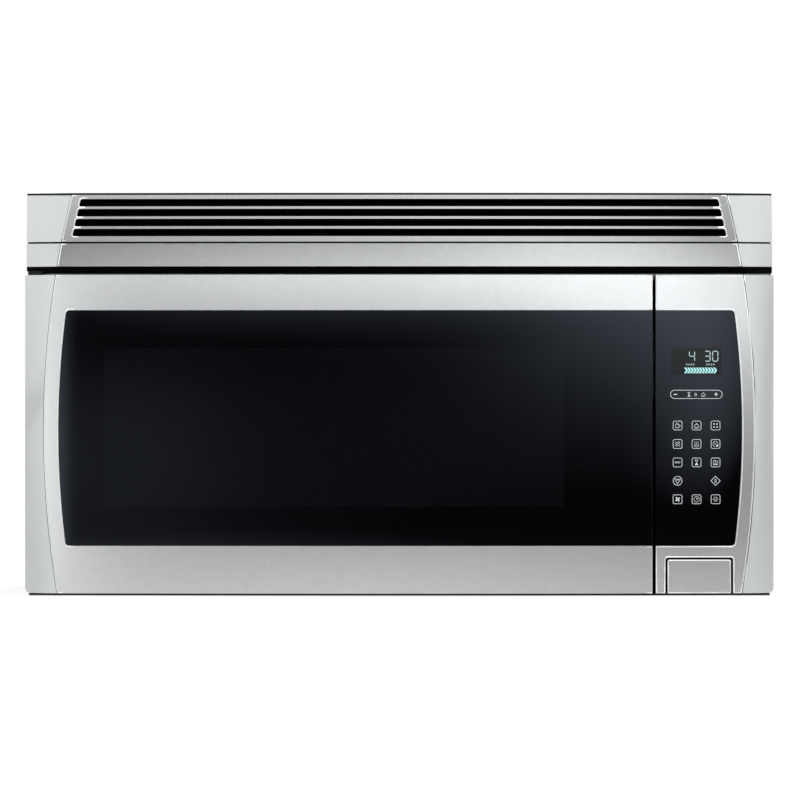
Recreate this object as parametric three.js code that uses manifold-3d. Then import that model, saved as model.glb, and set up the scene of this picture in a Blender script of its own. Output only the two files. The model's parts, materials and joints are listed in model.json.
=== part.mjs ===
// Over-the-range microwave oven, 30-inch class, with a push-button door.
// Millimetres, +Z up, +X to the right seen from the front, the front faces -Y.
// The origin is the middle of the footprint, on the underside.

import * as THREE from 'three';
import { mergeVertices } from 'three/addons/utils/BufferGeometryUtils.js';
import Module from 'manifold-3d';

const wasm = await Module();
wasm.setup();

// ---------- driving dimensions ----------

const WIDTH = 759; // over the door and control panel
const DEPTH = 395; // front of the door to the wall
const HEIGHT = 407.4; // underside to the top of the case
const FIT = 0.3; // seat between two pieces
const SHEET = 1.2; // case and cavity sheet
const SKIN = 1; // stainless skin over the front
const GLASS = 4; // door and panel glass
const BOW_RADIUS = 6000; // plan radius of the bowed front
const BOW_STEPS = 10; // flats along the bow
const SEAM_INSET = 19.5; // from the side to the curved seam's furthest reach
const SEAM_Z = 167.4; // height of that reach
const SEAM_RADIUS = 1013;
const SEAM_STEP = 1.4; // wings lie this far behind the skin
const WING_FALL = 13; // the wings fall back this far towards the sides
const UPPER_INSET = 1.5; // the upper section is this much narrower each side
const UNDERSIDE_LIP = 1.7; // base sheet, seen as the black line below the door
const DOOR_BOTTOM = 2.2;
const DOOR_THICK = 45.5;
const DOOR_REVEAL = 2; // air between the door and the oven's front flange
const PANEL_WIDTH = 120.3; // control panel, from the side to its edge at the door
const DOOR_GAP = 3.2; // between the door and the control panel
const WINDOW_BOTTOM = 50.2;
const WINDOW_HEAD = 35.8; // sheet above the glass
const WINDOW_RADIUS = 928;
const WINDOW_INSET_LEFT = 34.5; // from the side to the glass's furthest reach
const WINDOW_INSET_RIGHT = 32.8;
const GLASS_RECESS = 0.6; // the glass lies this far behind the skin
const CASE_TOP_SHEET = 1.7; // seen as the black line above the grille
const GRILLE_HEIGHT = 47.8;
const GRILLE_GAP = 1.8; // black line between the grille and the band
const BAND_HEIGHT = 23.2;
const DOOR_HEAD = 8.5; // black strip between the band and the door
const GRILLE_LEAN = 9; // the grille's top leans back this far
const SLOT_COUNT = 4;
const SLOT_HEIGHT = 7.6;
const SLOT_PITCH = 10.1;
const SLOT_SILL = 5.5; // below the first slot
const SLOT_MARGIN = 10; // from the seam to the slots' ends
const BUTTON_INSET = 11.9; // from the panel's left edge
const BUTTON_WIDTH = 64.5;
const BUTTON_TOP = 36.4;
const BUTTON_GROOVE = 2;
const BUTTON_TRAVEL = 4;
const HINGE_INSET = 6.5; // hinge axis from the door's left edge
const HINGE_SETBACK = 14; // hinge axis in front of the door's back
const HINGE_PIN_R = 3;
const HINGE_PIN_LENGTH = 14;
const CAVITY_INSET_LEFT = 32.5; // from the door's left edge
const CAVITY_INSET_RIGHT = 39; // from the door's right edge
const CAVITY_BOTTOM = 48;
const CAVITY_HEAD = 16.4; // from the cavity's top to the door's
const TRAY_CLEAR = 11.25; // between the tray and the cavity's front and back
const TRAY_GLASS = 5;
const TRAY_RIM = 13;
const ROLLER_R = 8;
const ROLLER_WIDTH = 8;
const ROLLER_INSET = 49; // from the tray's edge to the circle that the rollers run on
const ROLLER_COUNT = 3;
const BLOWER_R = 38;
const FAN_R = 52;

// ---------- places worked out from them ----------

const HALF = WIDTH / 2;
const FRONT = -DEPTH / 2;
const BACK = DEPTH / 2;
const DOOR_BACK = FRONT + DOOR_THICK;
const CASE_FRONT = DOOR_BACK + DOOR_REVEAL;
const CASE_HALF = HALF - UPPER_INSET;
const CASE_INNER = CASE_HALF - SHEET;
const TOP_INNER = HEIGHT - CASE_TOP_SHEET;
const WALL_PLATE = 3.2;
const REAR = BACK - WALL_PLATE - FIT; // back face of the rear panel
const REAR_INNER = REAR - SHEET;
const CAVITY_BACK = REAR_INNER - FIT;
const HINGE_X = -HALF + HINGE_INSET;
const HINGE_Y = DOOR_BACK - HINGE_SETBACK;
const SEAM_X = HALF - SEAM_INSET;
const PANEL_LEFT = HALF - PANEL_WIDTH;
const DOOR_RIGHT = PANEL_LEFT - DOOR_GAP;
const GRILLE_BOTTOM = TOP_INNER - GRILLE_HEIGHT;
const BAND_TOP = GRILLE_BOTTOM - GRILLE_GAP;
const BAND_BOTTOM = BAND_TOP - BAND_HEIGHT;
const DOOR_TOP = BAND_BOTTOM - DOOR_HEAD;
const WINDOW_TOP = DOOR_TOP - WINDOW_HEAD;
const WINDOW_REACH_LEFT = HALF - WINDOW_INSET_LEFT;
const WINDOW_REACH_RIGHT = HALF - WINDOW_INSET_RIGHT;
const SLOT_FIRST = GRILLE_BOTTOM + SLOT_SILL;
const BUTTON_LEFT = PANEL_LEFT + BUTTON_INSET;
const BUTTON_RIGHT = BUTTON_LEFT + BUTTON_WIDTH;
const CAVITY_LEFT = -HALF + CAVITY_INSET_LEFT;
const CAVITY_RIGHT = DOOR_RIGHT - CAVITY_INSET_RIGHT;
const CAVITY_TOP = DOOR_TOP - CAVITY_HEAD;
const TRAY_R = (CAVITY_BACK - CASE_FRONT) / 2 - TRAY_CLEAR;
const ROLLER_CIRCLE = TRAY_R - ROLLER_INSET;

// the bow of the front: how far the face stands at x, seen from above
const bow = (x) => FRONT + (x * x) / (2 * BOW_RADIUS);
// a circular arc bulging sideways: x at height z, reach at SEAM_Z
const arcX = (reach, radius, z) => reach - radius + Math.sqrt(radius ** 2 - (z - SEAM_Z) ** 2);
const seamX = (z) => arcX(SEAM_X, SEAM_RADIUS, z);
function span(from, to, steps) {
  return Array.from({ length: steps + 1 }, (_, i) => from + ((to - from) * i) / steps);
}

// ---------- shape helpers ----------

function solid(geometry) {
  const bare = geometry.index ? geometry.toNonIndexed() : geometry.clone();
  bare.deleteAttribute('normal');
  bare.deleteAttribute('uv');
  const merged = mergeVertices(bare, 1e-4);
  // rounded, so that faces meant to lie in one plane do
  const rounded = merged.attributes.position.array.map((value) => Math.round(value * 1e4) / 1e4);
  const mesh = new wasm.Mesh({
    numProp: 3,
    vertProperties: new Float32Array(rounded),
    triVerts: new Uint32Array(merged.index.array),
  });
  return new wasm.Manifold(mesh);
}

function geometryOf(body) {
  const mesh = body.getMesh();
  const geometry = new THREE.BufferGeometry();
  geometry.setAttribute('position', new THREE.BufferAttribute(new Float32Array(mesh.vertProperties), 3));
  geometry.setIndex(new THREE.BufferAttribute(new Uint32Array(mesh.triVerts), 1));
  return geometry;
}

const join = (...bodies) => bodies.reduce((whole, body) => whole.add(body));
const cut = (body, ...tools) => tools.reduce((whole, tool) => whole.subtract(tool), body);

function box(x0, x1, y0, y1, z0, z1) {
  const geometry = new THREE.BoxGeometry(x1 - x0, y1 - y0, z1 - z0);
  return solid(geometry.translate((x0 + x1) / 2, (y0 + y1) / 2, (z0 + z1) / 2));
}

// points [a, b] carried along the third axis: a prism along x, y or z
function prism(axis, points, from, to) {
  const shape = new THREE.Shape(points.map(([a, b]) => new THREE.Vector2(a, b)));
  const geometry = new THREE.ExtrudeGeometry(shape, { depth: to - from, bevelEnabled: false });
  geometry.translate(0, 0, from);
  const turn = new THREE.Matrix4();
  if (axis === 'x') turn.set(0, 0, 1, 0, 1, 0, 0, 0, 0, 1, 0, 0, 0, 0, 0, 1); // points are y, z
  if (axis === 'y') turn.set(1, 0, 0, 0, 0, 0, -1, 0, 0, 1, 0, 0, 0, 0, 0, 1); // points are x, z
  if (axis === 'y') turn.multiply(new THREE.Matrix4().makeTranslation(0, 0, -from - to));
  return solid(geometry.applyMatrix4(turn));
}

// a round bar along an axis; centre holds the two other coordinates
function rod(axis, radius, centre, from, to, sides = 24, endRadius = radius) {
  const geometry = new THREE.CylinderGeometry(endRadius, radius, to - from, sides);
  geometry.translate(0, (from + to) / 2, 0);
  if (axis === 'x') geometry.rotateZ(-Math.PI / 2).translate(0, centre[0], centre[1]);
  if (axis === 'y') geometry.translate(centre[0], 0, centre[1]);
  if (axis === 'z') geometry.rotateX(Math.PI / 2).translate(centre[0], centre[1], 0);
  return solid(geometry);
}

// a profile of [radius, height] points turned about a vertical axis through x, y
function turned(profile, x, y, sides = 40) {
  const points = profile.map(([r, z]) => new THREE.Vector2(r, z));
  const geometry = new THREE.LatheGeometry(points, sides);
  return solid(geometry.rotateX(Math.PI / 2).translate(x, y, 0));
}

// plan outlines at rising heights joined into one closed block
function loft(sections) {
  const count = sections[0].points.length;
  const positions = sections.flatMap(({ z, points }) => points.flatMap(([x, y]) => [x, y, z]));
  const faces = [];
  for (let level = 0; level < sections.length - 1; level += 1) {
    for (let i = 0; i < count; i += 1) {
      const a = level * count + i;
      const b = level * count + ((i + 1) % count);
      faces.push(a, b, b + count, a, b + count, a + count);
    }
  }
  const outline = (points) => points.map(([x, y]) => new THREE.Vector2(x, y));
  for (const [a, b, c] of THREE.ShapeUtils.triangulateShape(outline(sections[0].points), [])) {
    faces.push(c, b, a);
  }
  const last = (sections.length - 1) * count;
  for (const [a, b, c] of THREE.ShapeUtils.triangulateShape(outline(sections.at(-1).points), [])) {
    faces.push(a + last, b + last, c + last);
  }
  const geometry = new THREE.BufferGeometry();
  geometry.setAttribute('position', new THREE.Float32BufferAttribute(positions, 3));
  geometry.setIndex(faces);
  return solid(geometry);
}

// a coil spring along y or z: turns, pitch and wire give its length
function coil(axis, centre, from, to, radius, wire, turns) {
  const run = to - from - wire;
  class Helix extends THREE.Curve {
    getPoint(t) {
      const angle = turns * 2 * Math.PI * t;
      const along = from + wire / 2 + run * t;
      const a = centre[0] + radius * Math.cos(angle);
      const b = centre[1] + radius * Math.sin(angle);
      return axis === 'y' ? new THREE.Vector3(a, along, b) : new THREE.Vector3(a, b, along);
    }
  }
  const round = span(0, 1.6 * Math.PI, 4).map((a) => new THREE.Vector2(Math.cos(a), Math.sin(a)));
  const section = new THREE.Shape(round.map((point) => point.multiplyScalar(wire / 2)));
  return solid(new THREE.ExtrudeGeometry(section, { steps: turns * 8, extrudePath: new Helix() }));
}

// ---------- materials ----------

function finish(color, roughness, metalness) {
  return new THREE.MeshStandardMaterial({ color, roughness, metalness });
}

const MATERIALS = {
  stainless: finish('#c9cbcb', 0.32, 1),
  silver_paint: finish('#c4c8c7', 0.4, 0.3),
  black_glass: finish('#040507', 0.06, 0),
  black_plastic: finish('#111213', 0.5, 0),
  black_steel: finish('#17181a', 0.45, 0.4),
  zinc_steel: finish('#a9adae', 0.45, 0.9),
  cavity_paint: finish('#b9bab6', 0.4, 0.1),
  tray_glass: finish('#cfe0dc', 0.05, 0),
  lamp_glass: finish('#e8e6dc', 0.2, 0),
  aluminium: finish('#b4b7b8', 0.4, 0.9),
  carbon: finish('#1b1b1c', 0.9, 0),
  circuit_board: finish('#2f6b3c', 0.6, 0),
  mica: finish('#b39a6c', 0.6, 0),
  spring_steel: finish('#8d9092', 0.3, 1),
  white_plastic: finish('#e4e3dd', 0.45, 0),
};

const microwave = new THREE.Group();

function piece(name, material, body) {
  const mesh = new THREE.Mesh(geometryOf(body), MATERIALS[material]);
  mesh.name = name;
  microwave.add(mesh);
}

// ---------- the bowed front ----------

const WING_Y = bow(SEAM_X) + SEAM_STEP + WING_FALL; // the wings' outer edge
const CARRIER = SKIN + FIT; // what carries a skin starts this far behind the face
const LEVELS = 8;

// a sheet or block that follows the bow from x0 to x1, between two depths behind the face
function bowed(x0, x1, near, far, z0, z1, flatBack) {
  const xs = span(x0, x1, Math.max(2, Math.round((BOW_STEPS * (x1 - x0)) / WIDTH)));
  const face = xs.map((x) => [x, bow(x) + near]);
  const flat = [[x1, flatBack], [x0, flatBack]];
  const rear = flatBack === undefined ? xs.map((x) => [x, bow(x) + far]).reverse() : flat;
  return prism('z', [...face, ...rear], z0, z1);
}

// a skin between two side lines; lean is how far each height falls back
function skin(z0, z1, left, right, lean = () => 0) {
  const sections = span(z0, z1, LEVELS).map((z) => {
    const xs = span(left(z), right(z), BOW_STEPS);
    const face = xs.map((x) => [x, bow(x) + lean(z)]);
    return { z, points: [...face, ...face.map(([x, y]) => [x, y + SKIN]).reverse()] };
  });
  return loft(sections);
}

// the moulding behind a skin, with its wing on the sides that have one
function moulding({ z0, z1, left, right, back, half, lean = () => 0 }) {
  const wing = WING_Y;
  const sections = span(z0, z1, LEVELS).map((z) => {
    const from = left ?? -seamX(z);
    const to = right ?? seamX(z);
    const points = span(from, to, BOW_STEPS).map((x) => [x, bow(x) + CARRIER + lean(z)]);
    if (left === undefined) points.unshift([-half, wing + lean(z)]);
    if (right === undefined) points.push([half, wing + lean(z)]);
    points.push([points.at(-1)[0], back], [points[0][0], back]);
    return { z, points };
  });
  return loft(sections);
}

// a closed outline; a corner given as [a, b, r] is eased by r
function eased(corners) {
  return corners.flatMap(([a, b, r = 0], i) => {
    if (r === 0) return [[a, b]];
    const corner = new THREE.Vector2(a, b);
    const toward = ([c, d]) => new THREE.Vector2(c, d).sub(corner).setLength(r).add(corner);
    const before = toward(corners.at(i - 1));
    const after = toward(corners[(i + 1) % corners.length]);
    return new THREE.QuadraticBezierCurve(before, corner, after).getPoints(3).map((p) => [p.x, p.y]);
  });
}

// the window seen from the front: an arc on one side, straight at x = end on the other
function windowOutline(side, reach, end, inset) {
  const corner = 4;
  const arc = span(WINDOW_BOTTOM + inset, WINDOW_TOP - inset, LEVELS);
  const points = arc.map((z) => [side * arcX(reach - inset, WINDOW_RADIUS, z), z]);
  points[0].push(corner);
  points.at(-1).push(corner);
  return eased([...points, [end, WINDOW_TOP - inset], [end, WINDOW_BOTTOM + inset]]);
}

// takes the bottom outer corner of a wing off to a radius
function cornerTool(side) {
  const radius = 5;
  const x = side * HALF;
  const arc = span(0, Math.PI / 2, 4).map((a) => [
    x - side * radius * (1 - Math.sin(a)),
    DOOR_BOTTOM + radius * (1 - Math.cos(a)),
  ]);
  const outside = [
    [x + side, DOOR_BOTTOM + radius],
    [x + side, DOOR_BOTTOM - 1],
    [x - side * radius, DOOR_BOTTOM - 1],
  ];
  return prism('y', [...arc, ...outside], FRONT, 0);
}

const AHEAD = FRONT - 5; // clear in front of everything
const GLASS_BACK = GLASS_RECESS + GLASS;

// ---------- door ----------

const SEE_INSET = { left: 49, right: 51, below: 42, above: 58 }; // from the cavity's walls
const DOOR_SEE = {
  x0: CAVITY_LEFT + SEE_INSET.left,
  x1: CAVITY_RIGHT - SEE_INSET.right,
  z0: CAVITY_BOTTOM + SEE_INSET.below,
  z1: CAVITY_TOP - SEE_INSET.above,
};
const POCKET_INSET = { left: 28.5, right: 24, below: 11.8, above: 10.4 }; // from the door's edges
const DOOR_POCKET = {
  x0: -HALF + POCKET_INSET.left,
  x1: DOOR_RIGHT - POCKET_INSET.right,
  z0: DOOR_BOTTOM + POCKET_INSET.below,
  z1: DOOR_TOP - POCKET_INSET.above,
  depth: 26,
};
const LATCH_INSET = 17; // from the door's right edge
const LATCH_WIDTH = 8;
const LATCH_BAR = {
  x0: DOOR_RIGHT - LATCH_INSET,
  x1: DOOR_RIGHT - LATCH_INSET + LATCH_WIDTH,
  z0: 50,
  z1: DOOR_TOP - 24.4,
  near: 14,
  far: 6,
};
const LATCH_LIFT = 5;
const LATCH_SPRING = 10; // room above the bar for its spring
const HOOK_HEIGHTS = [LATCH_BAR.z0 + 20, LATCH_BAR.z1 - 16];
const HOOK = { height: 8, reach: 12, barb: 5, catch: 4 };
const PIN_BORE = HINGE_PIN_R + FIT;
const door = { near: DOOR_BACK - DOOR_POCKET.depth, back: DOOR_BACK };

function makeDoor() {
  const p = DOOR_POCKET;
  const see = DOOR_SEE;
  const glassRoom = bowed(-HALF, DOOR_RIGHT + 1, -SKIN, GLASS_BACK + FIT, WINDOW_BOTTOM, WINDOW_TOP);
  const glassHole = prism('y', windowOutline(-1, WINDOW_REACH_LEFT, DOOR_RIGHT + 1, 0), AHEAD, door.back);
  const bar = LATCH_BAR;
  const barTop = bar.z1 + LATCH_SPRING;
  const barNear = door.back - bar.near;
  const latchRoom = box(bar.x0 - FIT, bar.x1 + FIT, barNear - FIT, door.back + 1, bar.z0 - FIT, barTop);
  const frame = cut(
    moulding({ z0: DOOR_BOTTOM, z1: DOOR_TOP, right: DOOR_RIGHT, back: door.back, half: HALF }),
    glassRoom.intersect(glassHole),
    box(p.x0, p.x1, door.near, door.back + 1, p.z0, p.z1),
    box(see.x0, see.x1, AHEAD, door.back, see.z0, see.z1),
    latchRoom,
    rod('z', PIN_BORE, [HINGE_X, HINGE_Y], DOOR_TOP - HINGE_PIN_LENGTH, DOOR_TOP + 1),
    rod('z', PIN_BORE, [HINGE_X, HINGE_Y], DOOR_BOTTOM - 1, DOOR_BOTTOM + HINGE_PIN_LENGTH),
    cornerTool(-1),
  );
  piece('door_frame', 'silver_paint', frame);

  const sheet = skin(DOOR_BOTTOM, DOOR_TOP, (z) => -seamX(z), () => DOOR_RIGHT);
  piece('door_skin', 'stainless', cut(sheet, glassHole));

  const pane = bowed(-HALF, DOOR_RIGHT, GLASS_RECESS, GLASS_BACK, WINDOW_BOTTOM, WINDOW_TOP);
  const edge = prism('y', windowOutline(-1, WINDOW_REACH_LEFT, DOOR_RIGHT, FIT), AHEAD, door.back);
  piece('door_glass', 'black_glass', pane.intersect(edge));

  const sheetY = door.back - 3; // the choke cover lies behind the pan
  const rim = 20;
  const pan = cut(
    box(p.x0 + FIT, p.x1 - FIT, sheetY - rim, sheetY, p.z0 + FIT, p.z1 - FIT),
    box(p.x0 + FIT + 1, p.x1 - FIT - 1, sheetY - rim - 1, sheetY - 1, p.z0 + FIT + 1, p.z1 - FIT - 1),
  );
  piece('door_inner_panel', 'zinc_steel', pan);

  const cover = cut(
    box(p.x0 + FIT, p.x1 - FIT, sheetY + FIT, door.back, p.z0 + FIT, p.z1 - FIT),
    box(see.x0, see.x1, sheetY, door.back + 1, see.z0, see.z1),
  );
  piece('choke_cover', 'black_plastic', cover);

  const barBack = door.back - bar.far;
  const hooks = HOOK_HEIGHTS.map((z) => {
    const tip = CASE_FRONT + SHEET + HOOK.reach;
    const arm = box(bar.x0, bar.x1, barBack - 1, tip, z, z + HOOK.height);
    const barb = box(bar.x0, bar.x1, CASE_FRONT + SHEET + 2 * FIT, tip, z - HOOK.barb, z + 1);
    return join(arm, barb);
  });
  const rail = box(bar.x0, bar.x1, barNear, barBack, bar.z0, bar.z1);
  piece('latch_bar', 'black_plastic', join(rail, ...hooks));
  const middle = [(bar.x0 + bar.x1) / 2, door.back - (bar.near + bar.far) / 2];
  piece('latch_spring', 'spring_steel', coil('z', middle, bar.z1 + FIT, barTop - FIT, 2.6, 0.9, 4));
}

// ---------- control panel ----------

const BUTTON_MIDDLE = (BUTTON_LEFT + BUTTON_RIGHT) / 2;
const STEM_R = 4;
const STEM_Z = 19;
const LEVER_BACK = 8; // the stem's tip stays this far in front of the case
const STEM_TIP = CASE_FRONT - LEVER_BACK;
const BUTTON_WALL = { near: CASE_FRONT - 22.3, far: CASE_FRONT - 19.3 };
const BUTTON_BACK = BUTTON_WALL.near - BUTTON_TRAVEL - 2;
const PANEL_POCKET = {
  x0: PANEL_LEFT + 8.8,
  x1: HALF - 13.5,
  near: FRONT + 19.5,
  z0: 44,
  z1: DOOR_TOP - 12.4,
};
const CONTROL_BOARD = { height: 200, thick: 1.6 };
const DISPLAY = { inset: 11.8, width: 63, drop: 37.6, height: 32, depth: 13 };
const KEYPAD = { inset: 12.8, width: 63, drop: 110.6, height: 90, thick: 0.8 };
const LEVER_X = PANEL_LEFT + 37.8;
const LEVER_WIDTH = 12;
const LEVER = { x0: LEVER_X, x1: LEVER_X + LEVER_WIDTH, thick: 5, z0: 9, z1: 100, pivotZ: 60, pinR: 3 };
const EAR = 4;
const PANEL_BACK = CASE_FRONT - FIT;
const lever = { near: STEM_TIP + FIT, pivotY: STEM_TIP + FIT + LEVER.thick / 2 + 3 };

// where something lies behind the glass, from the panel's left edge and the window's top
function behindGlass({ inset, width, drop, height }) {
  const x0 = PANEL_LEFT + inset;
  const z1 = WINDOW_TOP - drop;
  return { x0, x1: x0 + width, z0: z1 - height, z1 };
}

function makeControlPanel() {
  const p = PANEL_POCKET;
  const groove = { x0: BUTTON_LEFT - BUTTON_GROOVE, x1: BUTTON_RIGHT + BUTTON_GROOVE };
  const grooveOutline = eased([
    [groove.x0, DOOR_BOTTOM - 1],
    [groove.x1, DOOR_BOTTOM - 1],
    [groove.x1, BUTTON_TOP + BUTTON_GROOVE, 3],
    [groove.x0, BUTTON_TOP + BUTTON_GROOVE, 3],
  ]);
  const glassRoom = bowed(PANEL_LEFT - 1, HALF, -SKIN, GLASS_BACK + FIT, WINDOW_BOTTOM, WINDOW_TOP);
  const glassHole = prism('y', windowOutline(1, WINDOW_REACH_RIGHT, PANEL_LEFT - 1, 0), AHEAD, PANEL_BACK);
  const d = behindGlass(DISPLAY);
  const k = behindGlass(KEYPAD);
  const keyFar = GLASS_BACK + KEYPAD.thick + 3 * FIT;
  const keyRoom = bowed(k.x0 - FIT, k.x1 + FIT, 0, keyFar, k.z0 - FIT, k.z1 + FIT);
  const ears = [LEVER.x0 - FIT - EAR, LEVER.x1 + FIT].map((x) =>
    box(x, x + EAR, p.near - 1, PANEL_BACK - 1, LEVER.pivotZ - 8, LEVER.pivotZ + 8),
  );
  const hollow = cut(
    moulding({ z0: DOOR_BOTTOM, z1: DOOR_TOP, left: PANEL_LEFT, back: PANEL_BACK, half: HALF }),
    glassRoom.intersect(glassHole),
    keyRoom,
    box(p.x0, p.x1, p.near, PANEL_BACK + 1, p.z0, p.z1),
    box(p.x0, p.x1, BUTTON_WALL.far, PANEL_BACK + 1, 6, p.z0 + 1),
    box(d.x0 - FIT, d.x1 + FIT, AHEAD, p.near + 1, d.z0 - FIT, d.z1 + FIT),
    prism('y', grooveOutline, AHEAD, BUTTON_WALL.near),
    rod('y', STEM_R + FIT, [BUTTON_MIDDLE, STEM_Z], BUTTON_WALL.near - 1, BUTTON_WALL.far + 1),
    cornerTool(1),
  );
  const pinHole = rod('x', LEVER.pinR + FIT, [lever.pivotY, LEVER.pivotZ], p.x0, p.x1, 16);
  piece('control_panel_frame', 'silver_paint', cut(join(hollow, ...ears), pinHole));

  const sheet = skin(DOOR_BOTTOM, DOOR_TOP, () => PANEL_LEFT, seamX);
  const buttonHole = prism('y', grooveOutline, AHEAD, PANEL_BACK);
  piece('control_panel_skin', 'stainless', cut(sheet, glassHole, buttonHole));

  const pane = bowed(PANEL_LEFT, HALF, GLASS_RECESS, GLASS_BACK, WINDOW_BOTTOM, WINDOW_TOP);
  const edge = prism('y', windowOutline(1, WINDOW_REACH_RIGHT, PANEL_LEFT, FIT), AHEAD, PANEL_BACK);
  piece('control_panel_glass', 'black_glass', pane.intersect(edge));

  const keyNear = GLASS_BACK + FIT;
  const keys = bowed(k.x0, k.x1, keyNear, keyNear + KEYPAD.thick, k.z0, k.z1);
  piece('keypad_membrane', 'black_plastic', keys);

  const displayNear = bow(d.x1) + GLASS_BACK + FIT;
  const displayFar = displayNear + DISPLAY.depth;
  piece('display_module', 'black_plastic', box(d.x0, d.x1, displayNear, displayFar, d.z0, d.z1));
  const boardY = displayFar + FIT;
  const boardFar = boardY + CONTROL_BOARD.thick;
  const boardLow = p.z1 - CONTROL_BOARD.height;
  const board = box(p.x0 + FIT, p.x1 - FIT, boardY, boardFar, boardLow, p.z1 - FIT);
  piece('control_board', 'circuit_board', board);

  const capOutline = eased([
    [BUTTON_LEFT, DOOR_BOTTOM],
    [BUTTON_RIGHT, DOOR_BOTTOM],
    [BUTTON_RIGHT, BUTTON_TOP, 2],
    [BUTTON_LEFT, BUTTON_TOP, 2],
  ]);
  const cap = bowed(BUTTON_LEFT, BUTTON_RIGHT, FIT, 0, 0, BUTTON_TOP + 1, BUTTON_BACK);
  const capEdge = prism('y', capOutline, AHEAD, PANEL_BACK);
  const stem = rod('y', STEM_R, [BUTTON_MIDDLE, STEM_Z], BUTTON_BACK - 1, STEM_TIP);
  piece('door_release_button', 'stainless', join(cap.intersect(capEdge), stem));
  const room = [BUTTON_BACK + FIT, BUTTON_WALL.near - FIT];
  piece('button_spring', 'spring_steel', coil('y', [BUTTON_MIDDLE, STEM_Z], ...room, 5.4, 1, 3));

  const plate = box(LEVER.x0, LEVER.x1, lever.near, lever.near + LEVER.thick, LEVER.z0, LEVER.z1);
  const boss = rod('x', LEVER.pinR + 3, [lever.pivotY, LEVER.pivotZ], LEVER.x0, LEVER.x1, 16);
  piece('interlock_lever', 'white_plastic', cut(join(plate, boss), pinHole));
  const pinEnds = [LEVER.x0 - FIT - EAR, LEVER.x1 + FIT + EAR];
  piece('lever_pin', 'spring_steel', rod('x', LEVER.pinR, [lever.pivotY, LEVER.pivotZ], ...pinEnds, 16));
}

// ---------- grille, trim band and gap strip ----------

const grilleLean = (z) => (GRILLE_LEAN * (z - GRILLE_BOTTOM)) / (TOP_INNER - GRILLE_BOTTOM);
const UPPER_BACK = CASE_FRONT - FIT;
const UPPER_HOLLOW = FRONT + 21.5; // front of the hollows behind the mouldings
const GRILLE_HOLLOW_INSET = 54; // from the side of the case
const BAND_HOLLOW_INSET = 48;
const HOLLOW_WALL = 3; // above and below the hollows
const STRIP_INSET = 15; // the gap strip lies this far behind the face
const STRIP_AIR = 2; // and this far above the door
const GRILLE_TOP = TOP_INNER - FIT;

function makeUpperFront() {
  const end = (z) => seamX(z) - SLOT_MARGIN;
  const slots = span(0, SLOT_COUNT - 1, SLOT_COUNT - 1).map((i) => {
    const low = SLOT_FIRST + i * SLOT_PITCH;
    const high = low + SLOT_HEIGHT;
    const corners = [[-end(low), low, 2], [end(low), low, 2], [end(high), high, 2], [-end(high), high, 2]];
    return prism('y', eased(corners), AHEAD, UPPER_HOLLOW + 1);
  });
  const upper = { half: CASE_HALF, back: UPPER_BACK };
  const grille = moulding({ z0: GRILLE_BOTTOM, z1: GRILLE_TOP, lean: grilleLean, ...upper });
  const hollowOf = (inset, z0, z1) => {
    const half = CASE_HALF - inset;
    return box(-half, half, UPPER_HOLLOW, UPPER_BACK + 1, z0 + HOLLOW_WALL, z1 - HOLLOW_WALL);
  };
  const hollow = hollowOf(GRILLE_HOLLOW_INSET, GRILLE_BOTTOM, GRILLE_TOP);
  piece('vent_grille', 'silver_paint', cut(grille, hollow, ...slots));
  const facing = skin(GRILLE_BOTTOM, GRILLE_TOP, (z) => -seamX(z), seamX, grilleLean);
  piece('grille_skin', 'stainless', cut(facing, ...slots));

  const band = moulding({ z0: BAND_BOTTOM, z1: BAND_TOP, ...upper });
  const bandHollow = hollowOf(BAND_HOLLOW_INSET, BAND_BOTTOM, BAND_TOP);
  piece('upper_trim_band', 'silver_paint', cut(band, bandHollow));
  piece('trim_band_skin', 'stainless', skin(BAND_BOTTOM, BAND_TOP, (z) => -seamX(z), seamX));

  const stripTop = BAND_BOTTOM - FIT;
  const strip = bowed(-CASE_HALF, CASE_HALF, STRIP_INSET, 0, DOOR_TOP + STRIP_AIR, stripTop, UPPER_BACK);
  piece('gap_strip', 'black_plastic', cut(strip, hingeArmRoom()));
}

// ---------- case, base and back ----------

const EXHAUST = { x: 125, y0: 20, y1: 102 }; // 3 1/4 x 10 inch duct outlet in the top
const RIGHT_BAY = CASE_INNER - 76.8; // middle of the bay beside the cavity
const GROMMET = { x: RIGHT_BAY, y: REAR - 74, r: 14, bore: 8 };
const LAMP = { x: 50, y0: -20, y1: 60, z: 0.8, thick: 3, top: 26 };
const BASE_HALF = CASE_INNER - FIT;
const FILTER_INNER = LAMP.x + 15;
const FILTER_OUTER = BASE_HALF - 121.5;
const FILTER = {
  width: FILTER_OUTER - FILTER_INNER,
  x: (FILTER_OUTER + FILTER_INNER) / 2,
  depth: 150,
  y: 20,
  thick: 8,
  lift: 1.2,
  ledge: 4,
};
const CROSS = { z0: DOOR_TOP - 3.9, z1: DOOR_TOP + 20.6, depth: 46, sheet: 1.5 };
const WALL_SHEET = 1.6; // the wall plate's sheet
const PLATE = { half: CASE_HALF - 8, z0: 10, z1: HEIGHT - 9.4 };
const PLATE_WINDOW = { x0: 50, x1: PLATE.half - 60, z0: 110, z1: HEIGHT - 117.4 };
const PAD = { x: PLATE.half - 70, half: 20, z0: 60, z1: HEIGHT - 67.4 };
const CHARCOAL = { half: CASE_HALF - 138, setback: 10, depth: 24 };
const BASE_FLANGE = 30;

const filterBox = (side, grow, z0, z1) => {
  const f = FILTER;
  const x = side * f.x;
  const halfWidth = f.width / 2 + grow;
  const halfDepth = f.depth / 2 + grow;
  return box(x - halfWidth, x + halfWidth, f.y - halfDepth, f.y + halfDepth, z0, z1);
};

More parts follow.
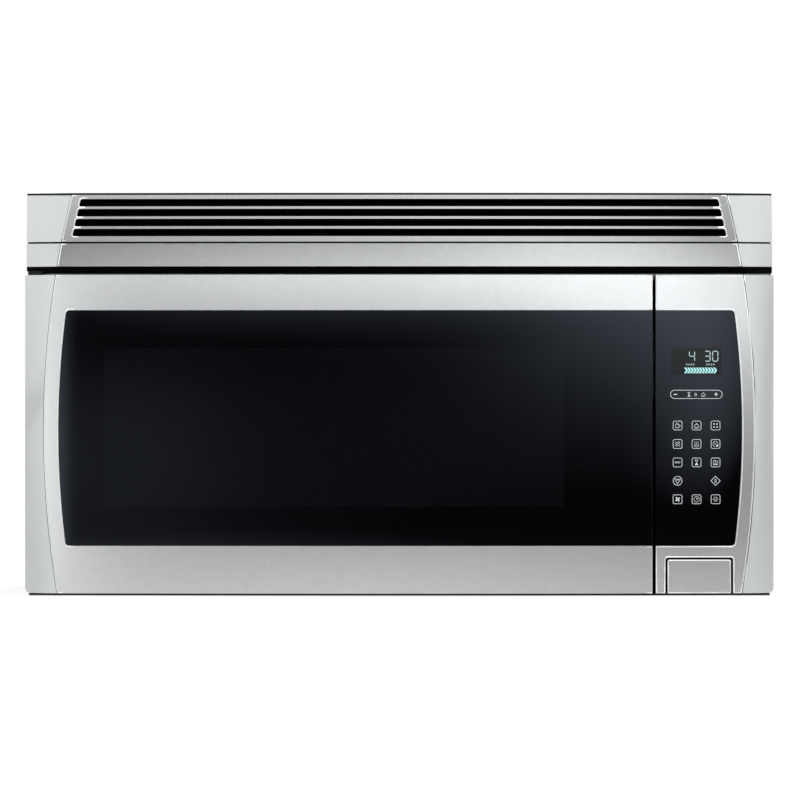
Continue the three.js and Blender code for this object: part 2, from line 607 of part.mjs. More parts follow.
function makeCase() {
  const sides = [-1, 1].map((side) => {
    const x = side * (CASE_HALF - SHEET / 2);
    return box(x - SHEET / 2, x + SHEET / 2, CASE_FRONT, REAR, DOOR_BOTTOM, TOP_INNER + 1);
  });
  // the top sheet runs forward over the grille, between the same lines as the mouldings below it
  const reach = span(-seamX(TOP_INNER), seamX(TOP_INNER), BOW_STEPS).map((x) => [x, bow(x) + GRILLE_LEAN]);
  const top = prism('z', [
    [-CASE_HALF, WING_Y + GRILLE_LEAN],
    ...reach,
    [CASE_HALF, WING_Y + GRILLE_LEAN],
    [CASE_HALF, REAR],
    [-CASE_HALF, REAR],
  ], TOP_INNER, HEIGHT);
  const shell = cut(
    join(top, ...sides),
    box(-EXHAUST.x, EXHAUST.x, EXHAUST.y0, EXHAUST.y1, TOP_INNER - 1, HEIGHT + 1),
    rod('z', GROMMET.r, [GROMMET.x, GROMMET.y], TOP_INNER - 1, HEIGHT + 1, 16),
  );
  piece('outer_case', 'black_steel', shell);

  const grommet = join(
    rod('z', GROMMET.r - FIT, [GROMMET.x, GROMMET.y], TOP_INNER - 2, HEIGHT, 16),
    rod('z', GROMMET.r + 3, [GROMMET.x, GROMMET.y], TOP_INNER - 5, TOP_INNER - FIT, 16),
  );
  const bore = rod('z', GROMMET.bore, [GROMMET.x, GROMMET.y], TOP_INNER - 6, HEIGHT + 1, 16);
  piece('cord_grommet', 'black_plastic', cut(grommet, bore));

  const inner = CASE_INNER - FIT;
  const rearPanel = box(-inner, inner, REAR_INNER, REAR, UNDERSIDE_LIP + FIT, TOP_INNER - FIT);
  piece('rear_panel', 'zinc_steel', rearPanel);

  const plateFront = BACK - WALL_SHEET;
  const padAt = [-PAD.x, 0, PAD.x].flatMap((x) => [[x, PAD.z0], [x, PAD.z1]]);
  const pads = padAt.map(([x, z]) =>
    box(x - PAD.half, x + PAD.half, REAR + FIT, plateFront + 1, z - PAD.half, z + PAD.half),
  );
  const w = PLATE_WINDOW;
  const windows = [[-w.x1, -w.x0], [w.x0, w.x1]].map((x) => box(...x, REAR, BACK + 1, w.z0, w.z1));
  const wall = cut(box(-PLATE.half, PLATE.half, plateFront, BACK, PLATE.z0, PLATE.z1), ...windows);
  piece('wall_mounting_plate', 'zinc_steel', join(wall, ...pads));

  const f = FILTER;
  const ledge = f.lift + f.thick + FIT;
  const rims = [-1, 1].map((side) => cut(
    filterBox(side, 2, 0.5, ledge + SHEET),
    filterBox(side, 0.5, 0, ledge),
    filterBox(side, -f.ledge, 0, ledge + 2 * SHEET),
  ));
  const lip = FRONT + 8; // the base reaches forward under the door
  const flanges = [-1, 1].map((side) => {
    const x = side * (BASE_HALF - SHEET / 2);
    return box(x - SHEET / 2, x + SHEET / 2, CASE_FRONT + 2, REAR_INNER - FIT, 1, BASE_FLANGE);
  });
  const plate = cut(
    join(box(-BASE_HALF, BASE_HALF, CASE_FRONT, REAR_INNER - FIT, 0, UNDERSIDE_LIP), bowedLip(lip)),
    filterBox(-1, 0.5, -1, 3),
    filterBox(1, 0.5, -1, 3),
    box(-LAMP.x - FIT, LAMP.x + FIT, LAMP.y0 - FIT, LAMP.y1 + FIT, -1, 3),
    rod('z', PIN_BORE, [HINGE_X, HINGE_Y], -1, 3),
  );
  piece('base_plate', 'black_steel', join(plate, ...flanges, ...rims));

  for (const [side, name] of [[-1, 'left'], [1, 'right']]) {
    piece(`grease_filter_${name}`, 'aluminium', filterBox(side, 0, f.lift, f.lift + f.thick));
  }
  const lampTop = LAMP.z + LAMP.thick;
  piece('lamp_cover', 'lamp_glass', box(-LAMP.x, LAMP.x, LAMP.y0, LAMP.y1, LAMP.z, lampTop));
  const lampZ = lampTop + FIT;
  const holder = box(-LAMP.x, LAMP.x, LAMP.y0, LAMP.y1, lampZ, LAMP.top);
  const reflector = box(-LAMP.x + 2, LAMP.x - 2, LAMP.y0 + 2, LAMP.y1 - 2, lampZ - 1, LAMP.top - 2);
  const bulb = join(rod('x', 9, [20, 14], -20, 26), rod('x', 6, [20, 14], 24, LAMP.x - 1));
  piece('cooktop_lamp', 'lamp_glass', join(cut(holder, reflector), bulb));

  const c = CROSS;
  const cross = prism('x', [
    [CASE_FRONT, c.z0],
    [CASE_FRONT + c.sheet, c.z0],
    [CASE_FRONT + c.sheet, c.z1 - c.sheet],
    [CASE_FRONT + c.depth, c.z1 - c.sheet],
    [CASE_FRONT + c.depth, c.z1],
    [CASE_FRONT, c.z1],
  ], -CASE_INNER + FIT, CASE_INNER - FIT);
  piece('front_cross_member', 'zinc_steel', cut(cross, hingeArmRoom()));

  const bedY = CASE_FRONT + CHARCOAL.setback;
  const bed = box(-CHARCOAL.half, CHARCOAL.half, bedY, bedY + CHARCOAL.depth, c.z1 + FIT, TOP_INNER - FIT);
  piece('charcoal_filter', 'carbon', bed);
}

// the strip of the base under the door, bowed like the front above it
function bowedLip(front) {
  return bowed(-HALF + 4, HALF - 4, front - FRONT, 0, 0, UNDERSIDE_LIP, CASE_FRONT + 1);
}

// ---------- hinges ----------

const HINGE_ARM = { x1: -HALF + 17.5, half: 8, z0: DOOR_TOP + 0.9, z1: DOOR_TOP + 3.9 };

// what the pieces over the door leave free for the arm
function hingeArmRoom() {
  const a = HINGE_ARM;
  return box(-HALF, a.x1 + FIT, AHEAD, 0, a.z0 - FIT, a.z1 + FIT);
}

function makeHinges() {
  const a = HINGE_ARM;
  const back = CASE_FRONT + CROSS.sheet + FIT;
  const arm = box(-CASE_INNER + FIT, a.x1, HINGE_Y - a.half, back + 3, a.z0, a.z1);
  const leg = box(-CASE_INNER + FIT, a.x1, back, back + 3, a.z0 - 14, a.z1);
  const end = DOOR_TOP - HINGE_PIN_LENGTH + FIT;
  const pin = rod('z', HINGE_PIN_R, [HINGE_X, HINGE_Y], end, a.z1);
  piece('upper_hinge_bracket', 'black_steel', join(arm, leg, pin));
  const lowerTop = DOOR_BOTTOM + HINGE_PIN_LENGTH - FIT;
  piece('lower_hinge_pin', 'zinc_steel', rod('z', HINGE_PIN_R, [HINGE_X, HINGE_Y], 0.3, lowerTop));
}

// ---------- oven cavity and turntable ----------

const FLANGE = { x0: -CASE_INNER + 2.8, x1: DOOR_RIGHT - 4, z0: 3, z1: CROSS.z0 - FIT };
const TRAY_X = (CAVITY_LEFT + CAVITY_RIGHT) / 2;
const TRAY_Y = (CASE_FRONT + CAVITY_BACK) / 2;
const FLOOR = CAVITY_BOTTOM + SHEET;
const ROLLER_Z = FLOOR + FIT + ROLLER_R;
const TRAY_Z = ROLLER_Z + ROLLER_R + FIT;
const SHAFT_R = 3.2;
const MOTOR_R = 25;
const WAVEGUIDE = { reach: 40, y0: -40, y1: 60, z0: CAVITY_TOP - 108, z1: CAVITY_TOP - 16 };
const ANTENNA = [(WAVEGUIDE.y0 + WAVEGUIDE.y1) / 2, (WAVEGUIDE.z0 + WAVEGUIDE.z1) / 2];

function makeOven() {
  const x = [CAVITY_LEFT, CAVITY_RIGHT];
  const f = FLANGE;
  const w = WAVEGUIDE;
  const shell = join(
    box(...x, CASE_FRONT, CAVITY_BACK, CAVITY_BOTTOM, CAVITY_TOP),
    box(f.x0, f.x1, CASE_FRONT, CASE_FRONT + SHEET, f.z0, f.z1),
  );
  const bar = LATCH_BAR;
  const catches = HOOK_HEIGHTS.map((z) =>
    box(bar.x0 - 2, bar.x1 + 3, CASE_FRONT - 1, CASE_FRONT + 2, z - 1, z + HOOK.height + LATCH_LIFT + 1),
  );
  const cavity = cut(
    shell,
    box(x[0] + SHEET, x[1] - SHEET, CASE_FRONT - 1, CAVITY_BACK - SHEET, FLOOR, CAVITY_TOP - SHEET),
    box(x[1] - 2 * SHEET, x[1] + 1, w.y0 + 8, w.y1 - 8, w.z0 + 8, w.z1 - 8),
    rod('z', SHAFT_R + 1.5, [TRAY_X, TRAY_Y], CAVITY_BOTTOM - 1, FLOOR + 1),
    ...catches,
  );
  piece('oven_cavity', 'cavity_paint', cavity);

  const guide = box(x[1] + FIT, x[1] + w.reach, w.y0, w.y1, w.z0, w.z1);
  const inside = box(x[1], x[1] + w.reach - SHEET, w.y0 + SHEET, w.y1 - SHEET, w.z0 + SHEET, w.z1 - SHEET);
  const antenna = rod('x', 12, ANTENNA, x[1] + w.reach - 3, x[1] + w.reach + 1);
  piece('waveguide', 'zinc_steel', cut(guide, inside, antenna));
  const coverX = x[1] - SHEET - FIT;
  piece('waveguide_cover', 'mica', box(coverX - 0.8, coverX, w.y0 + 4, w.y1 - 4, w.z0 + 4, w.z1 - 4));

  const can = rod('z', MOTOR_R, [TRAY_X, TRAY_Y], CAVITY_BOTTOM - 20, CAVITY_BOTTOM - FIT);
  const shaft = rod('z', SHAFT_R, [TRAY_X, TRAY_Y], CAVITY_BOTTOM - 1, FLOOR + 7);
  piece('turntable_motor', 'zinc_steel', join(can, shaft));

  const hub = join(
    rod('z', 11, [TRAY_X, TRAY_Y], FLOOR + FIT, TRAY_Z - 4),
    ...[0, 1, 2].map((i) => {
      const lobe = box(0, 20, -4, 4, TRAY_Z - 8, TRAY_Z - FIT);
      return lobe.rotate([0, 0, 120 * i]).translate([TRAY_X, TRAY_Y, 0]);
    }),
  );
  const socket = rod('z', SHAFT_R + FIT, [TRAY_X, TRAY_Y], FLOOR, FLOOR + 7 + FIT);
  piece('turntable_coupler', 'white_plastic', cut(hub, socket));

  const t = TRAY_GLASS;
  const tray = turned([
    [0, TRAY_Z],
    [TRAY_R - 14, TRAY_Z],
    [TRAY_R - 4, TRAY_Z + 4],
    [TRAY_R, TRAY_Z + TRAY_RIM],
    [TRAY_R - t * 0.7, TRAY_Z + TRAY_RIM],
    [TRAY_R - 4 - t, TRAY_Z + 4 + t * 0.6],
    [TRAY_R - 16, TRAY_Z + t],
    [0, TRAY_Z + t],
  ], TRAY_X, TRAY_Y);
  piece('glass_tray', 'tray_glass', tray);

  const axleR = 1.8;
  const half = ROLLER_WIDTH / 2;
  const spokes = span(0, ROLLER_COUNT - 1, ROLLER_COUNT - 1).map((i) => (360 / ROLLER_COUNT) * i + 90);
  const place = (body, angle) => body.rotate([0, 0, angle]).translate([TRAY_X, TRAY_Y, ROLLER_Z]);
  const ringOuter = ROLLER_CIRCLE - half - 2 * FIT;
  const band = turned([
    [ringOuter - 8, ROLLER_Z - 2.5],
    [ringOuter, ROLLER_Z - 2.5],
    [ringOuter, ROLLER_Z + 2.5],
    [ringOuter - 8, ROLLER_Z + 2.5],
    [ringOuter - 8, ROLLER_Z - 2.5],
  ], TRAY_X, TRAY_Y);
  const stubs = spokes.map((angle) =>
    place(rod('x', axleR, [0, 0], ringOuter - 3, ROLLER_CIRCLE + half + 1, 12), angle),
  );
  piece('roller_ring', 'white_plastic', join(band, ...stubs));
  spokes.forEach((angle, i) => {
    const wheel = cut(
      rod('x', ROLLER_R, [0, 0], ROLLER_CIRCLE - half, ROLLER_CIRCLE + half),
      rod('x', axleR + FIT, [0, 0], ROLLER_CIRCLE - half - 1, ROLLER_CIRCLE + half + 1, 12),
    );
    piece(`roller_${i + 1}`, 'white_plastic', place(wheel, angle));
  });
}

// ---------- electrics, fans and switches ----------

const BLOWER = { y: (EXHAUST.y0 + EXHAUST.y1) / 2, z: CAVITY_TOP + 48, motorHalf: 34, x: 122, wall: 2 };
const SHAFT = 4;
const INVERTER = { x0: CASE_INNER - 108.8, x1: CASE_INNER - 10.8, y0: -60, y1: 120, z: 22 };
const FAN = { x: RIGHT_BAY, z: 190, half: 62, depth: 36 };

// a squirrel-cage wheel along x, between two planes
function cage(from, to) {
  const b = BLOWER;
  const blades = 12;
  const sides = 16;
  const vane = box(from, to - 1, BLOWER_R - 9, BLOWER_R - 1, -0.8, 0.8);
  const vanes = span(0, blades - 1, blades - 1).map((i) => vane.rotate([(360 / blades) * i, 0, 0]));
  const ring = (x0, x1) => cut(
    rod('x', BLOWER_R, [0, 0], x0, x1, sides),
    rod('x', BLOWER_R - 10, [0, 0], x0 - 1, x1 + 1, sides),
  );
  const middle = (from + to) / 2;
  const disc = rod('x', BLOWER_R - 0.5, [0, 0], middle - 1, middle + 1, sides);
  const hub = rod('x', SHAFT + 6, [0, 0], middle - 8, middle + 8);
  const bore = rod('x', SHAFT + FIT, [0, 0], from - 1, to + 1);
  const wheel = cut(join(disc, hub, ring(from, from + 2), ring(to - 2, to), ...vanes), bore);
  return wheel.translate([0, b.y, b.z]);
}

function makeBlower() {
  const b = BLOWER;
  const at = [b.y, b.z];
  const roof = TOP_INNER - FIT;
  const floor = CAVITY_TOP + FIT;
  const y0 = b.y - BLOWER_R - 7;
  const y1 = b.y + BLOWER_R + 7;
  const room = join(
    rod('x', BLOWER_R + 5, at, -b.x + b.wall, b.x - b.wall, 32),
    box(-b.x + b.wall, b.x - b.wall, EXHAUST.y0, EXHAUST.y1, b.z, roof + 1),
  );
  const housing = cut(
    box(-b.x, b.x, y0, y1, floor, roof),
    room,
    rod('x', BLOWER_R - 8, at, -b.x - 1, b.x + 1, 32),
  );
  const foot = box(-12, 12, b.y - 8, b.y + 8, b.z - BLOWER_R - 5 + 1.2, b.z);
  const motor = cut(
    join(rod('x', 28, at, -b.motorHalf, b.motorHalf), foot),
    rod('x', SHAFT + FIT, at, -b.motorHalf - 1, b.motorHalf + 1),
  );
  piece('blower_housing', 'zinc_steel', housing);
  piece('blower_motor', 'black_steel', motor);
  const inner = b.motorHalf + 6;
  const outer = b.x - b.wall - 4;
  piece('blower_shaft', 'spring_steel', rod('x', SHAFT, at, -outer, outer));
  piece('blower_wheel_left', 'zinc_steel', cage(-outer, -inner));
  piece('blower_wheel_right', 'zinc_steel', cage(inner, outer));
}

function makeElectrics() {
  const w = WAVEGUIDE;
  const x = CAVITY_RIGHT + w.reach + FIT;
  const levels = span(w.z0 + 10, w.z0 + 70, 6);
  const vanes = levels.map((z) => box(x + 14, x + 94, w.y0 + 10, w.y1 - 10, z, z + 2));
  const core = join(box(x, x + 14, w.y0, w.y1, w.z0, w.z1), rod('x', 20, ANTENNA, x + 13, x + 92));
  const dome = rod('x', 10, ANTENNA, x - 20, x + 1);
  piece('magnetron', 'zinc_steel', join(core, ...vanes, dome));

  const n = INVERTER;
  const onBoard = n.z + 1;
  const ends = [n.y0 + 6, n.y1 - 6];
  const corners = [n.x0 + 4, n.x1 - 4].flatMap((at) => ends.map((y) => [at, y]));
  const posts = corners.map((at) => rod('z', 3, at, UNDERSIDE_LIP, onBoard, 8));
  const board = box(n.x0, n.x1, n.y0, n.y1, n.z, n.z + 1.6);
  const sinkX = [n.x0 + 4, n.x0 + 38];
  const fins = span(0, 5, 5).map((i) => box(...sinkX, 10 + i * 10, 12 + i * 10, onBoard, n.z + 38));
  const sink = join(...fins, box(...sinkX, 10, 62, onBoard, n.z + 6));
  const block = box(n.x0 + 46, n.x0 + 86, -40, 20, onBoard, n.z + 44);
  const transformer = join(block, rod('y', 15, [n.x0 + 66, n.z + 24], -50, 30));
  piece('inverter_board', 'circuit_board', join(board, ...posts, sink, transformer));

  const f = FAN;
  const y1 = REAR_INNER - FIT;
  const y0 = y1 - f.depth;
  const frame = cut(
    box(f.x - f.half, f.x + f.half, y0, y1, f.z - f.half, f.z + f.half),
    rod('y', FAN_R + 5, [f.x, f.z], y0 - 1, y1 + 1, 32),
  );
  const arm = box(-f.half + 2, f.half - 2, y1 - 3, y1, -3, 3);
  const arms = [0, 60, 120].map((angle) => arm.rotate([0, angle, 0]).translate([f.x, 0, f.z]));
  const seat = cut(join(...arms), rod('y', 20 + FIT, [f.x, f.z], y0, y1 + 1));
  piece('fan_shroud', 'black_plastic', join(frame, seat));
  const stub = 2.5;
  piece('fan_motor', 'black_steel', cut(
    rod('y', 20, [f.x, f.z], y1 - 18, y1),
    rod('y', stub + FIT, [f.x, f.z], y1 - 19, y1 - 8),
  ));
  const blade = box(12, FAN_R, -1, 1, -13, 13).rotate([30, 0, 0]);
  const blades = span(0, 4, 4).map((i) => blade.rotate([0, 72 * i, 0]).translate([f.x, y0 + 8, f.z]));
  const hub = rod('y', 16, [f.x, f.z], y0 + 2, y0 + 14);
  piece('fan_blade', 'black_plastic', join(hub, rod('y', stub, [f.x, f.z], y0 + 13, y1 - 8.5), ...blades));

  const bar = LATCH_BAR;
  const channel = {
    x0: CAVITY_RIGHT + FIT,
    x1: DOOR_RIGHT - 2,
    y0: CASE_FRONT + SHEET + FIT,
    y1: CASE_FRONT + 34,
    z0: 50,
    z1: DOOR_TOP - 14.4,
  };
  const within = [channel.z0 + 4, channel.z1 - 4];
  const bracket = cut(
    box(channel.x0, channel.x1, channel.y0, channel.y1, channel.z0, channel.z1),
    box(bar.x0 - 3, bar.x1 + 4, channel.y0 - 1, channel.y1 - 3, ...within),
    box(channel.x0 + 3, bar.x0 - 6, channel.y0 + 3, channel.y1 + 1, ...within),
  );
  piece('interlock_bracket', 'white_plastic', bracket);
  const heights = { lower: channel.z0 + 16, middle: channel.z0 + 120, upper: channel.z1 - 30 };
  for (const [name, z] of Object.entries(heights)) {
    const x0 = channel.x1 + FIT;
    const body = box(x0, x0 + 11, channel.y0 + 1, channel.y1 - 3, z, z + 18);
    piece(`door_switch_${name}`, 'black_plastic', body);
  }
  const lamp = { y: 110, z: CAVITY_TOP - 38, half: 20, base: 16, reach: 40 };
  const base = [CAVITY_RIGHT + FIT, CAVITY_RIGHT + lamp.base];
  const socket = join(
    box(...base, lamp.y - lamp.half, lamp.y + lamp.half, lamp.z - lamp.half, lamp.z + lamp.half),
    rod('x', 9, [lamp.y, lamp.z], CAVITY_RIGHT + lamp.base - 1, CAVITY_RIGHT + lamp.reach, 16),
  );
  piece('cavity_lamp', 'lamp_glass', socket);
}

makeDoor();
makeControlPanel();
makeUpperFront();
makeCase();
makeHinges();
makeOven();
makeBlower();
makeElectrics();

export default microwave;
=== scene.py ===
# %% [markdown]
# # Dressing an over-the-range microwave
# The working model comes first, as a fixed frame in metres: every moving body, every bracket.
# This lesson lays the visible surfaces on it. Nothing in the frame is moved or resized here.
# The lengths below are in metres, +Z is up, +X is to the right and the front faces -Y.

# %% Load the frame
import json
import math

import bmesh
import bpy
import mathutils
import numpy as np
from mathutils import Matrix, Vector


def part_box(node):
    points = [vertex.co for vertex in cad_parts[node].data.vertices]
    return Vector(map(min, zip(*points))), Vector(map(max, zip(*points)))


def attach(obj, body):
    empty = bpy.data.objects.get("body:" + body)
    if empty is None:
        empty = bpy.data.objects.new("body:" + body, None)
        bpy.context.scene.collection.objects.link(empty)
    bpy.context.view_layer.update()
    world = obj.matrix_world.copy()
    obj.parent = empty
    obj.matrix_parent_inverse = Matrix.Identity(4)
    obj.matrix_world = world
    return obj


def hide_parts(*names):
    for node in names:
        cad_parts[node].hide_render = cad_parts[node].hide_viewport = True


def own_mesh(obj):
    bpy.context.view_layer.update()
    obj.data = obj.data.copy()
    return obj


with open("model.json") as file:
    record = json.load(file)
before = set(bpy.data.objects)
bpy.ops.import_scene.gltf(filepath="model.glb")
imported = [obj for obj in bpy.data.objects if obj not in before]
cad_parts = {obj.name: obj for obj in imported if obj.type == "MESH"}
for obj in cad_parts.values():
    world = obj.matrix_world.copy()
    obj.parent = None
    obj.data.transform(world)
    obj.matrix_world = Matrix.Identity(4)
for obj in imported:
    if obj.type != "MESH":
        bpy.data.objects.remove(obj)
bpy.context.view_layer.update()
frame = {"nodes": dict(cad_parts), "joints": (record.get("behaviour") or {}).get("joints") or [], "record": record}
nodes = frame["nodes"]
MM = 0.001

# %% [markdown]
# ## The shape of the front
# The whole front is a shallow barrel: seen from above it is an arc of six metres radius.
# Two long side arcs part the brushed steel from the painted wings. Both are written as
# formulas, so each sheet, pane and printed mark can be laid on the same face.

# %% The bow and the seams
front_low, front_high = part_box("door_skin")
FRONT_Y = float(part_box("trim_band_skin")[0][1])
DOOR_BOTTOM, DOOR_TOP = float(front_low[2]), float(front_high[2])
DOOR_RIGHT = float(front_high[0])
PANEL_LEFT = float(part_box("control_panel_skin")[0][0])
BOW_RADIUS = 6.0
SEAM_REACH, SEAM_HEIGHT, SEAM_RADIUS = 0.360, 0.1674, 1.013
WINDOW_RADIUS = 0.928
WINDOW_LOW, WINDOW_HIGH = 0.0502, 0.2886
WINDOW_REACH_LEFT, WINDOW_REACH_RIGHT = 0.345, 0.3467
SHEET = 1.0 * MM
GLASS_RECESS = 0.6 * MM
GLASS = 4.0 * MM


def bow(x):
    """Depth of the face at x: the front plus x squared over twice the bow's radius."""
    return FRONT_Y + np.square(x) / (2 * BOW_RADIUS)


def arc(reach, radius, z):
    """A side arc: its reach, less the circle's sagitta at height z."""
    return reach - radius + np.sqrt(radius**2 - np.square(z - SEAM_HEIGHT))


def seam(z):
    """The long arc between steel and wing: its distance from the middle at height z."""
    return arc(SEAM_REACH, SEAM_RADIUS, z)


print("front at", round(FRONT_Y, 4), "door from", DOOR_BOTTOM, "to", DOOR_TOP)

# %% [markdown]
# ## Finishes as node groups
# Brushed steel, painted plastic and powder coat differ in their numbers more than in their
# nature. Each effect is one group with named inputs: a grain drawn out along one axis, a
# fine speckle, and the soft smears that hands and cloths leave on any smooth surface.

# %% Node helpers


def new_group(name, inputs, outputs):
    """A shader group with float inputs {name: default} and outputs {name: socket type}."""
    group = bpy.data.node_groups.new(name, "ShaderNodeTree")
    for label, default in inputs.items():
        socket = group.interface.new_socket(label, in_out="INPUT", socket_type="NodeSocketFloat")
        socket.default_value = default
    for label, kind in outputs.items():
        group.interface.new_socket(label, in_out="OUTPUT", socket_type=kind)
    return group, group.nodes.new("NodeGroupInput"), group.nodes.new("NodeGroupOutput")


def feed(tree, socket, value):
    """Gives a socket its value, which is a number or another socket to link."""
    if isinstance(value, (int, float)):
        socket.default_value = value
    else:
        tree.links.new(value, socket)


def math_node(tree, operation, first, second=0.5, clamp=False):
    """A Math node; either side is a number or a socket."""
    node = tree.nodes.new("ShaderNodeMath")
    node.operation = operation
    node.use_clamp = clamp
    for socket, value in zip(node.inputs, (first, second)):
        feed(tree, socket, value)
    return node.outputs[0]


def remapped(tree, value, bounds, smooth=False):
    """Maps bounds[0]..bounds[1] onto bounds[2]..bounds[3], straight or in an S-curve."""
    node = tree.nodes.new("ShaderNodeMapRange")
    node.interpolation_type = "SMOOTHSTEP" if smooth else "LINEAR"
    tree.links.new(value, node.inputs["Value"])
    for label, bound in zip(("From Min", "From Max", "To Min", "To Max"), bounds):
        feed(tree, node.inputs[label], bound)
    return node.outputs["Result"]


def object_axes(tree):
    """The X, Y and Z of Object coordinates, each a socket of its own."""
    axes = tree.nodes.new("ShaderNodeSeparateXYZ")
    tree.links.new(tree.nodes.new("ShaderNodeTexCoord").outputs["Object"], axes.inputs[0])
    return axes.outputs


def stretched(tree, scales, centre=(0, 0, 0)):
    """Object coordinates, moved to a centre and stretched per axis."""
    where = tree.nodes.new("ShaderNodeTexCoord")
    mapping = tree.nodes.new("ShaderNodeMapping")
    mapping.vector_type = "POINT"
    mapping.inputs["Scale"].default_value = scales
    mapping.inputs["Location"].default_value = [-c * s for c, s in zip(centre, scales)]
    tree.links.new(where.outputs["Object"], mapping.inputs["Vector"])
    return mapping.outputs["Vector"]


def noise(tree, vector, scale=1.0, detail=2.0, rough=0.5):
    """A noise of one value per place; most of it lies between 0.3 and 0.7."""
    node = tree.nodes.new("ShaderNodeTexNoise")
    node.inputs["Scale"].default_value = scale
    node.inputs["Detail"].default_value = detail
    node.inputs["Roughness"].default_value = rough
    tree.links.new(vector, node.inputs["Vector"])
    return node.outputs["Fac"]


def spread(tree, value, low, high):
    """Maps 0.3..0.7, where noise mostly lies, onto low..high."""
    return remapped(tree, value, (0.3, 0.7, low, high))


def blank(name, **sockets):
    """A material and its Principled shader, with plain values set on its sockets."""
    material = bpy.data.materials.new(name)
    material.use_nodes = True
    shader = material.node_tree.nodes["Principled BSDF"]
    for label, value in sockets.items():
        shader.inputs[label.replace("_", " ")].default_value = value
    return material, material.node_tree, shader


print("lengths in metres, a millimetre is", MM)

# %% [markdown]
# ## Camera and studio
# The picture is taken from six metres away through a long lens, dead on, so the front is
# almost without perspective. The room is white to the camera. What the polished parts
# mirror is a world of its own: bright all round, and dark only where the lens stands, which
# is how a photographer keeps black glass black while brushed steel stays pale.

# %% Camera
CAMERA_AWAY, CAMERA_HEIGHT, CAMERA_ASIDE = 6.0, 0.1978, 0.00066
CAMERA_FOCUS = -0.175  # the face of the oven in y, from which the distance is measured
PICTURE_PIXELS, PIXEL = 800, 1.01376 * MM  # the picture's width, and what one pixel shows
FILM_WIDTH = 36
camera = bpy.data.objects.new("camera", bpy.data.cameras.new("camera"))
bpy.context.collection.objects.link(camera)
camera.location = (CAMERA_ASIDE, CAMERA_FOCUS - CAMERA_AWAY, CAMERA_HEIGHT)
camera.rotation_euler = (math.pi / 2, 0, 0)
camera.data.sensor_width = FILM_WIDTH
camera.data.lens = FILM_WIDTH * CAMERA_AWAY / (PICTURE_PIXELS * PIXEL)
camera.data.clip_end = 60
scene = bpy.context.scene
scene.camera = camera
scene.view_settings.view_transform = "Standard"
print("lens", round(camera.data.lens, 1), "mm")

# %% [markdown]
# ### The world
# One world serves three kinds of ray. The camera sees white. Diffuse light is an even
# grey. Mirrored rays see a soft box all round, dark far out on the left, dimmer and then
# bright far out on the right, and bright overhead, so the steel's rolled edges draw lines.

# %% World
AMBIENT = 0.55
MIRROR_TURNS = (  # axis, where the change starts and ends along it, brightness before and after
    ("X", -0.985, -0.95, 0.1, 1.15),
    ("X", 0.70, 0.86, 1.0, 0.54),
    ("X", 0.95, 0.985, 1.0, 3.4),
    ("Z", 0.55, 0.85, 1.0, 2.2),
)
world = bpy.data.worlds.new("studio")
scene.world = world
world.use_nodes = True
sky = world.node_tree
sky.nodes.clear()
toward = sky.nodes.new("ShaderNodeSeparateXYZ")
sky.links.new(sky.nodes.new("ShaderNodeTexCoord").outputs["Generated"], toward.inputs[0])
mirrored = 1.0
for axis, *bounds in MIRROR_TURNS:
    change = remapped(sky, toward.outputs[axis], bounds, smooth=True)
    mirrored = math_node(sky, "MULTIPLY", change, mirrored)
path = sky.nodes.new("ShaderNodeLightPath")
seen = math_node(sky, "MAXIMUM", path.outputs["Is Camera Ray"], path.outputs["Is Transmission Ray"])
gloss = math_node(sky, "MULTIPLY", path.outputs["Is Glossy Ray"], mirrored)
plain = math_node(sky, "SUBTRACT", 1.0, path.outputs["Is Glossy Ray"])
both = math_node(sky, "ADD", gloss, math_node(sky, "MULTIPLY", plain, AMBIENT))
room = sky.nodes.new("ShaderNodeBackground")
room.inputs["Color"].default_value = (1, 1, 1, 1)
sky.links.new(math_node(sky, "MAXIMUM", both, seen), room.inputs["Strength"])
sky.links.new(room.outputs[0], sky.nodes.new("ShaderNodeOutputWorld").inputs["Surface"])
print("the mirrored room changes", len(MIRROR_TURNS), "times")

# %% [markdown]
# ### The floor
# The floor is a white sheet that glows a little to camera and mirror, so it meets the white
# room without a line but still takes the oven's shadow. An opening under the oven, inside
# its footprint, lets the room light the underside. From below the sheet is clear.

# %% Floor
FLOOR_HALF = 1.3
FLOOR_OPEN_X, FLOOR_OPEN_Y = 0.34, 0.16  # half of the opening
FLOOR_DROP = 1.0 * MM  # room for the heads of the screws under the oven
FLOOR_GLOW = {"Camera": 0.72, "Transmission": 0.72, "Glossy": 0.20}
POOL_MIDDLE, POOL_WIDTH, POOL_GLOW = 0.0, 0.50, 0.80  # the lit middle that the door mirrors
SQUARE = ((-1, -1), (1, -1), (1, 1), (-1, 1))


def stage_sheet(name, points, material, faces=((0, 1, 2, 3),)):
    """A sheet of the studio, which is no part of the oven."""
    mesh = bpy.data.meshes.new(name)
    mesh.from_pydata(points, [], faces)
    mesh.materials.append(material)
    sheet = bpy.data.objects.new(name, mesh)
    bpy.context.collection.objects.link(sheet)
    return sheet


def away(tree, place, centre, width):
    """How many widths a coordinate lies from a centre."""
    return math_node(tree, "DIVIDE", math_node(tree, "SUBTRACT", place, centre), width)


def bell(tree, *distances):
    """exp(-(u * u + v * v)) of the distances: 1 in the middle, next to nothing two widths out."""
    squares = [math_node(tree, "MULTIPLY", distance, distance) for distance in distances]
    total = squares[0]
    for square in squares[1:]:
        total = math_node(tree, "ADD", total, square)
    return math_node(tree, "EXPONENT", math_node(tree, "MULTIPLY", total, -1.0))


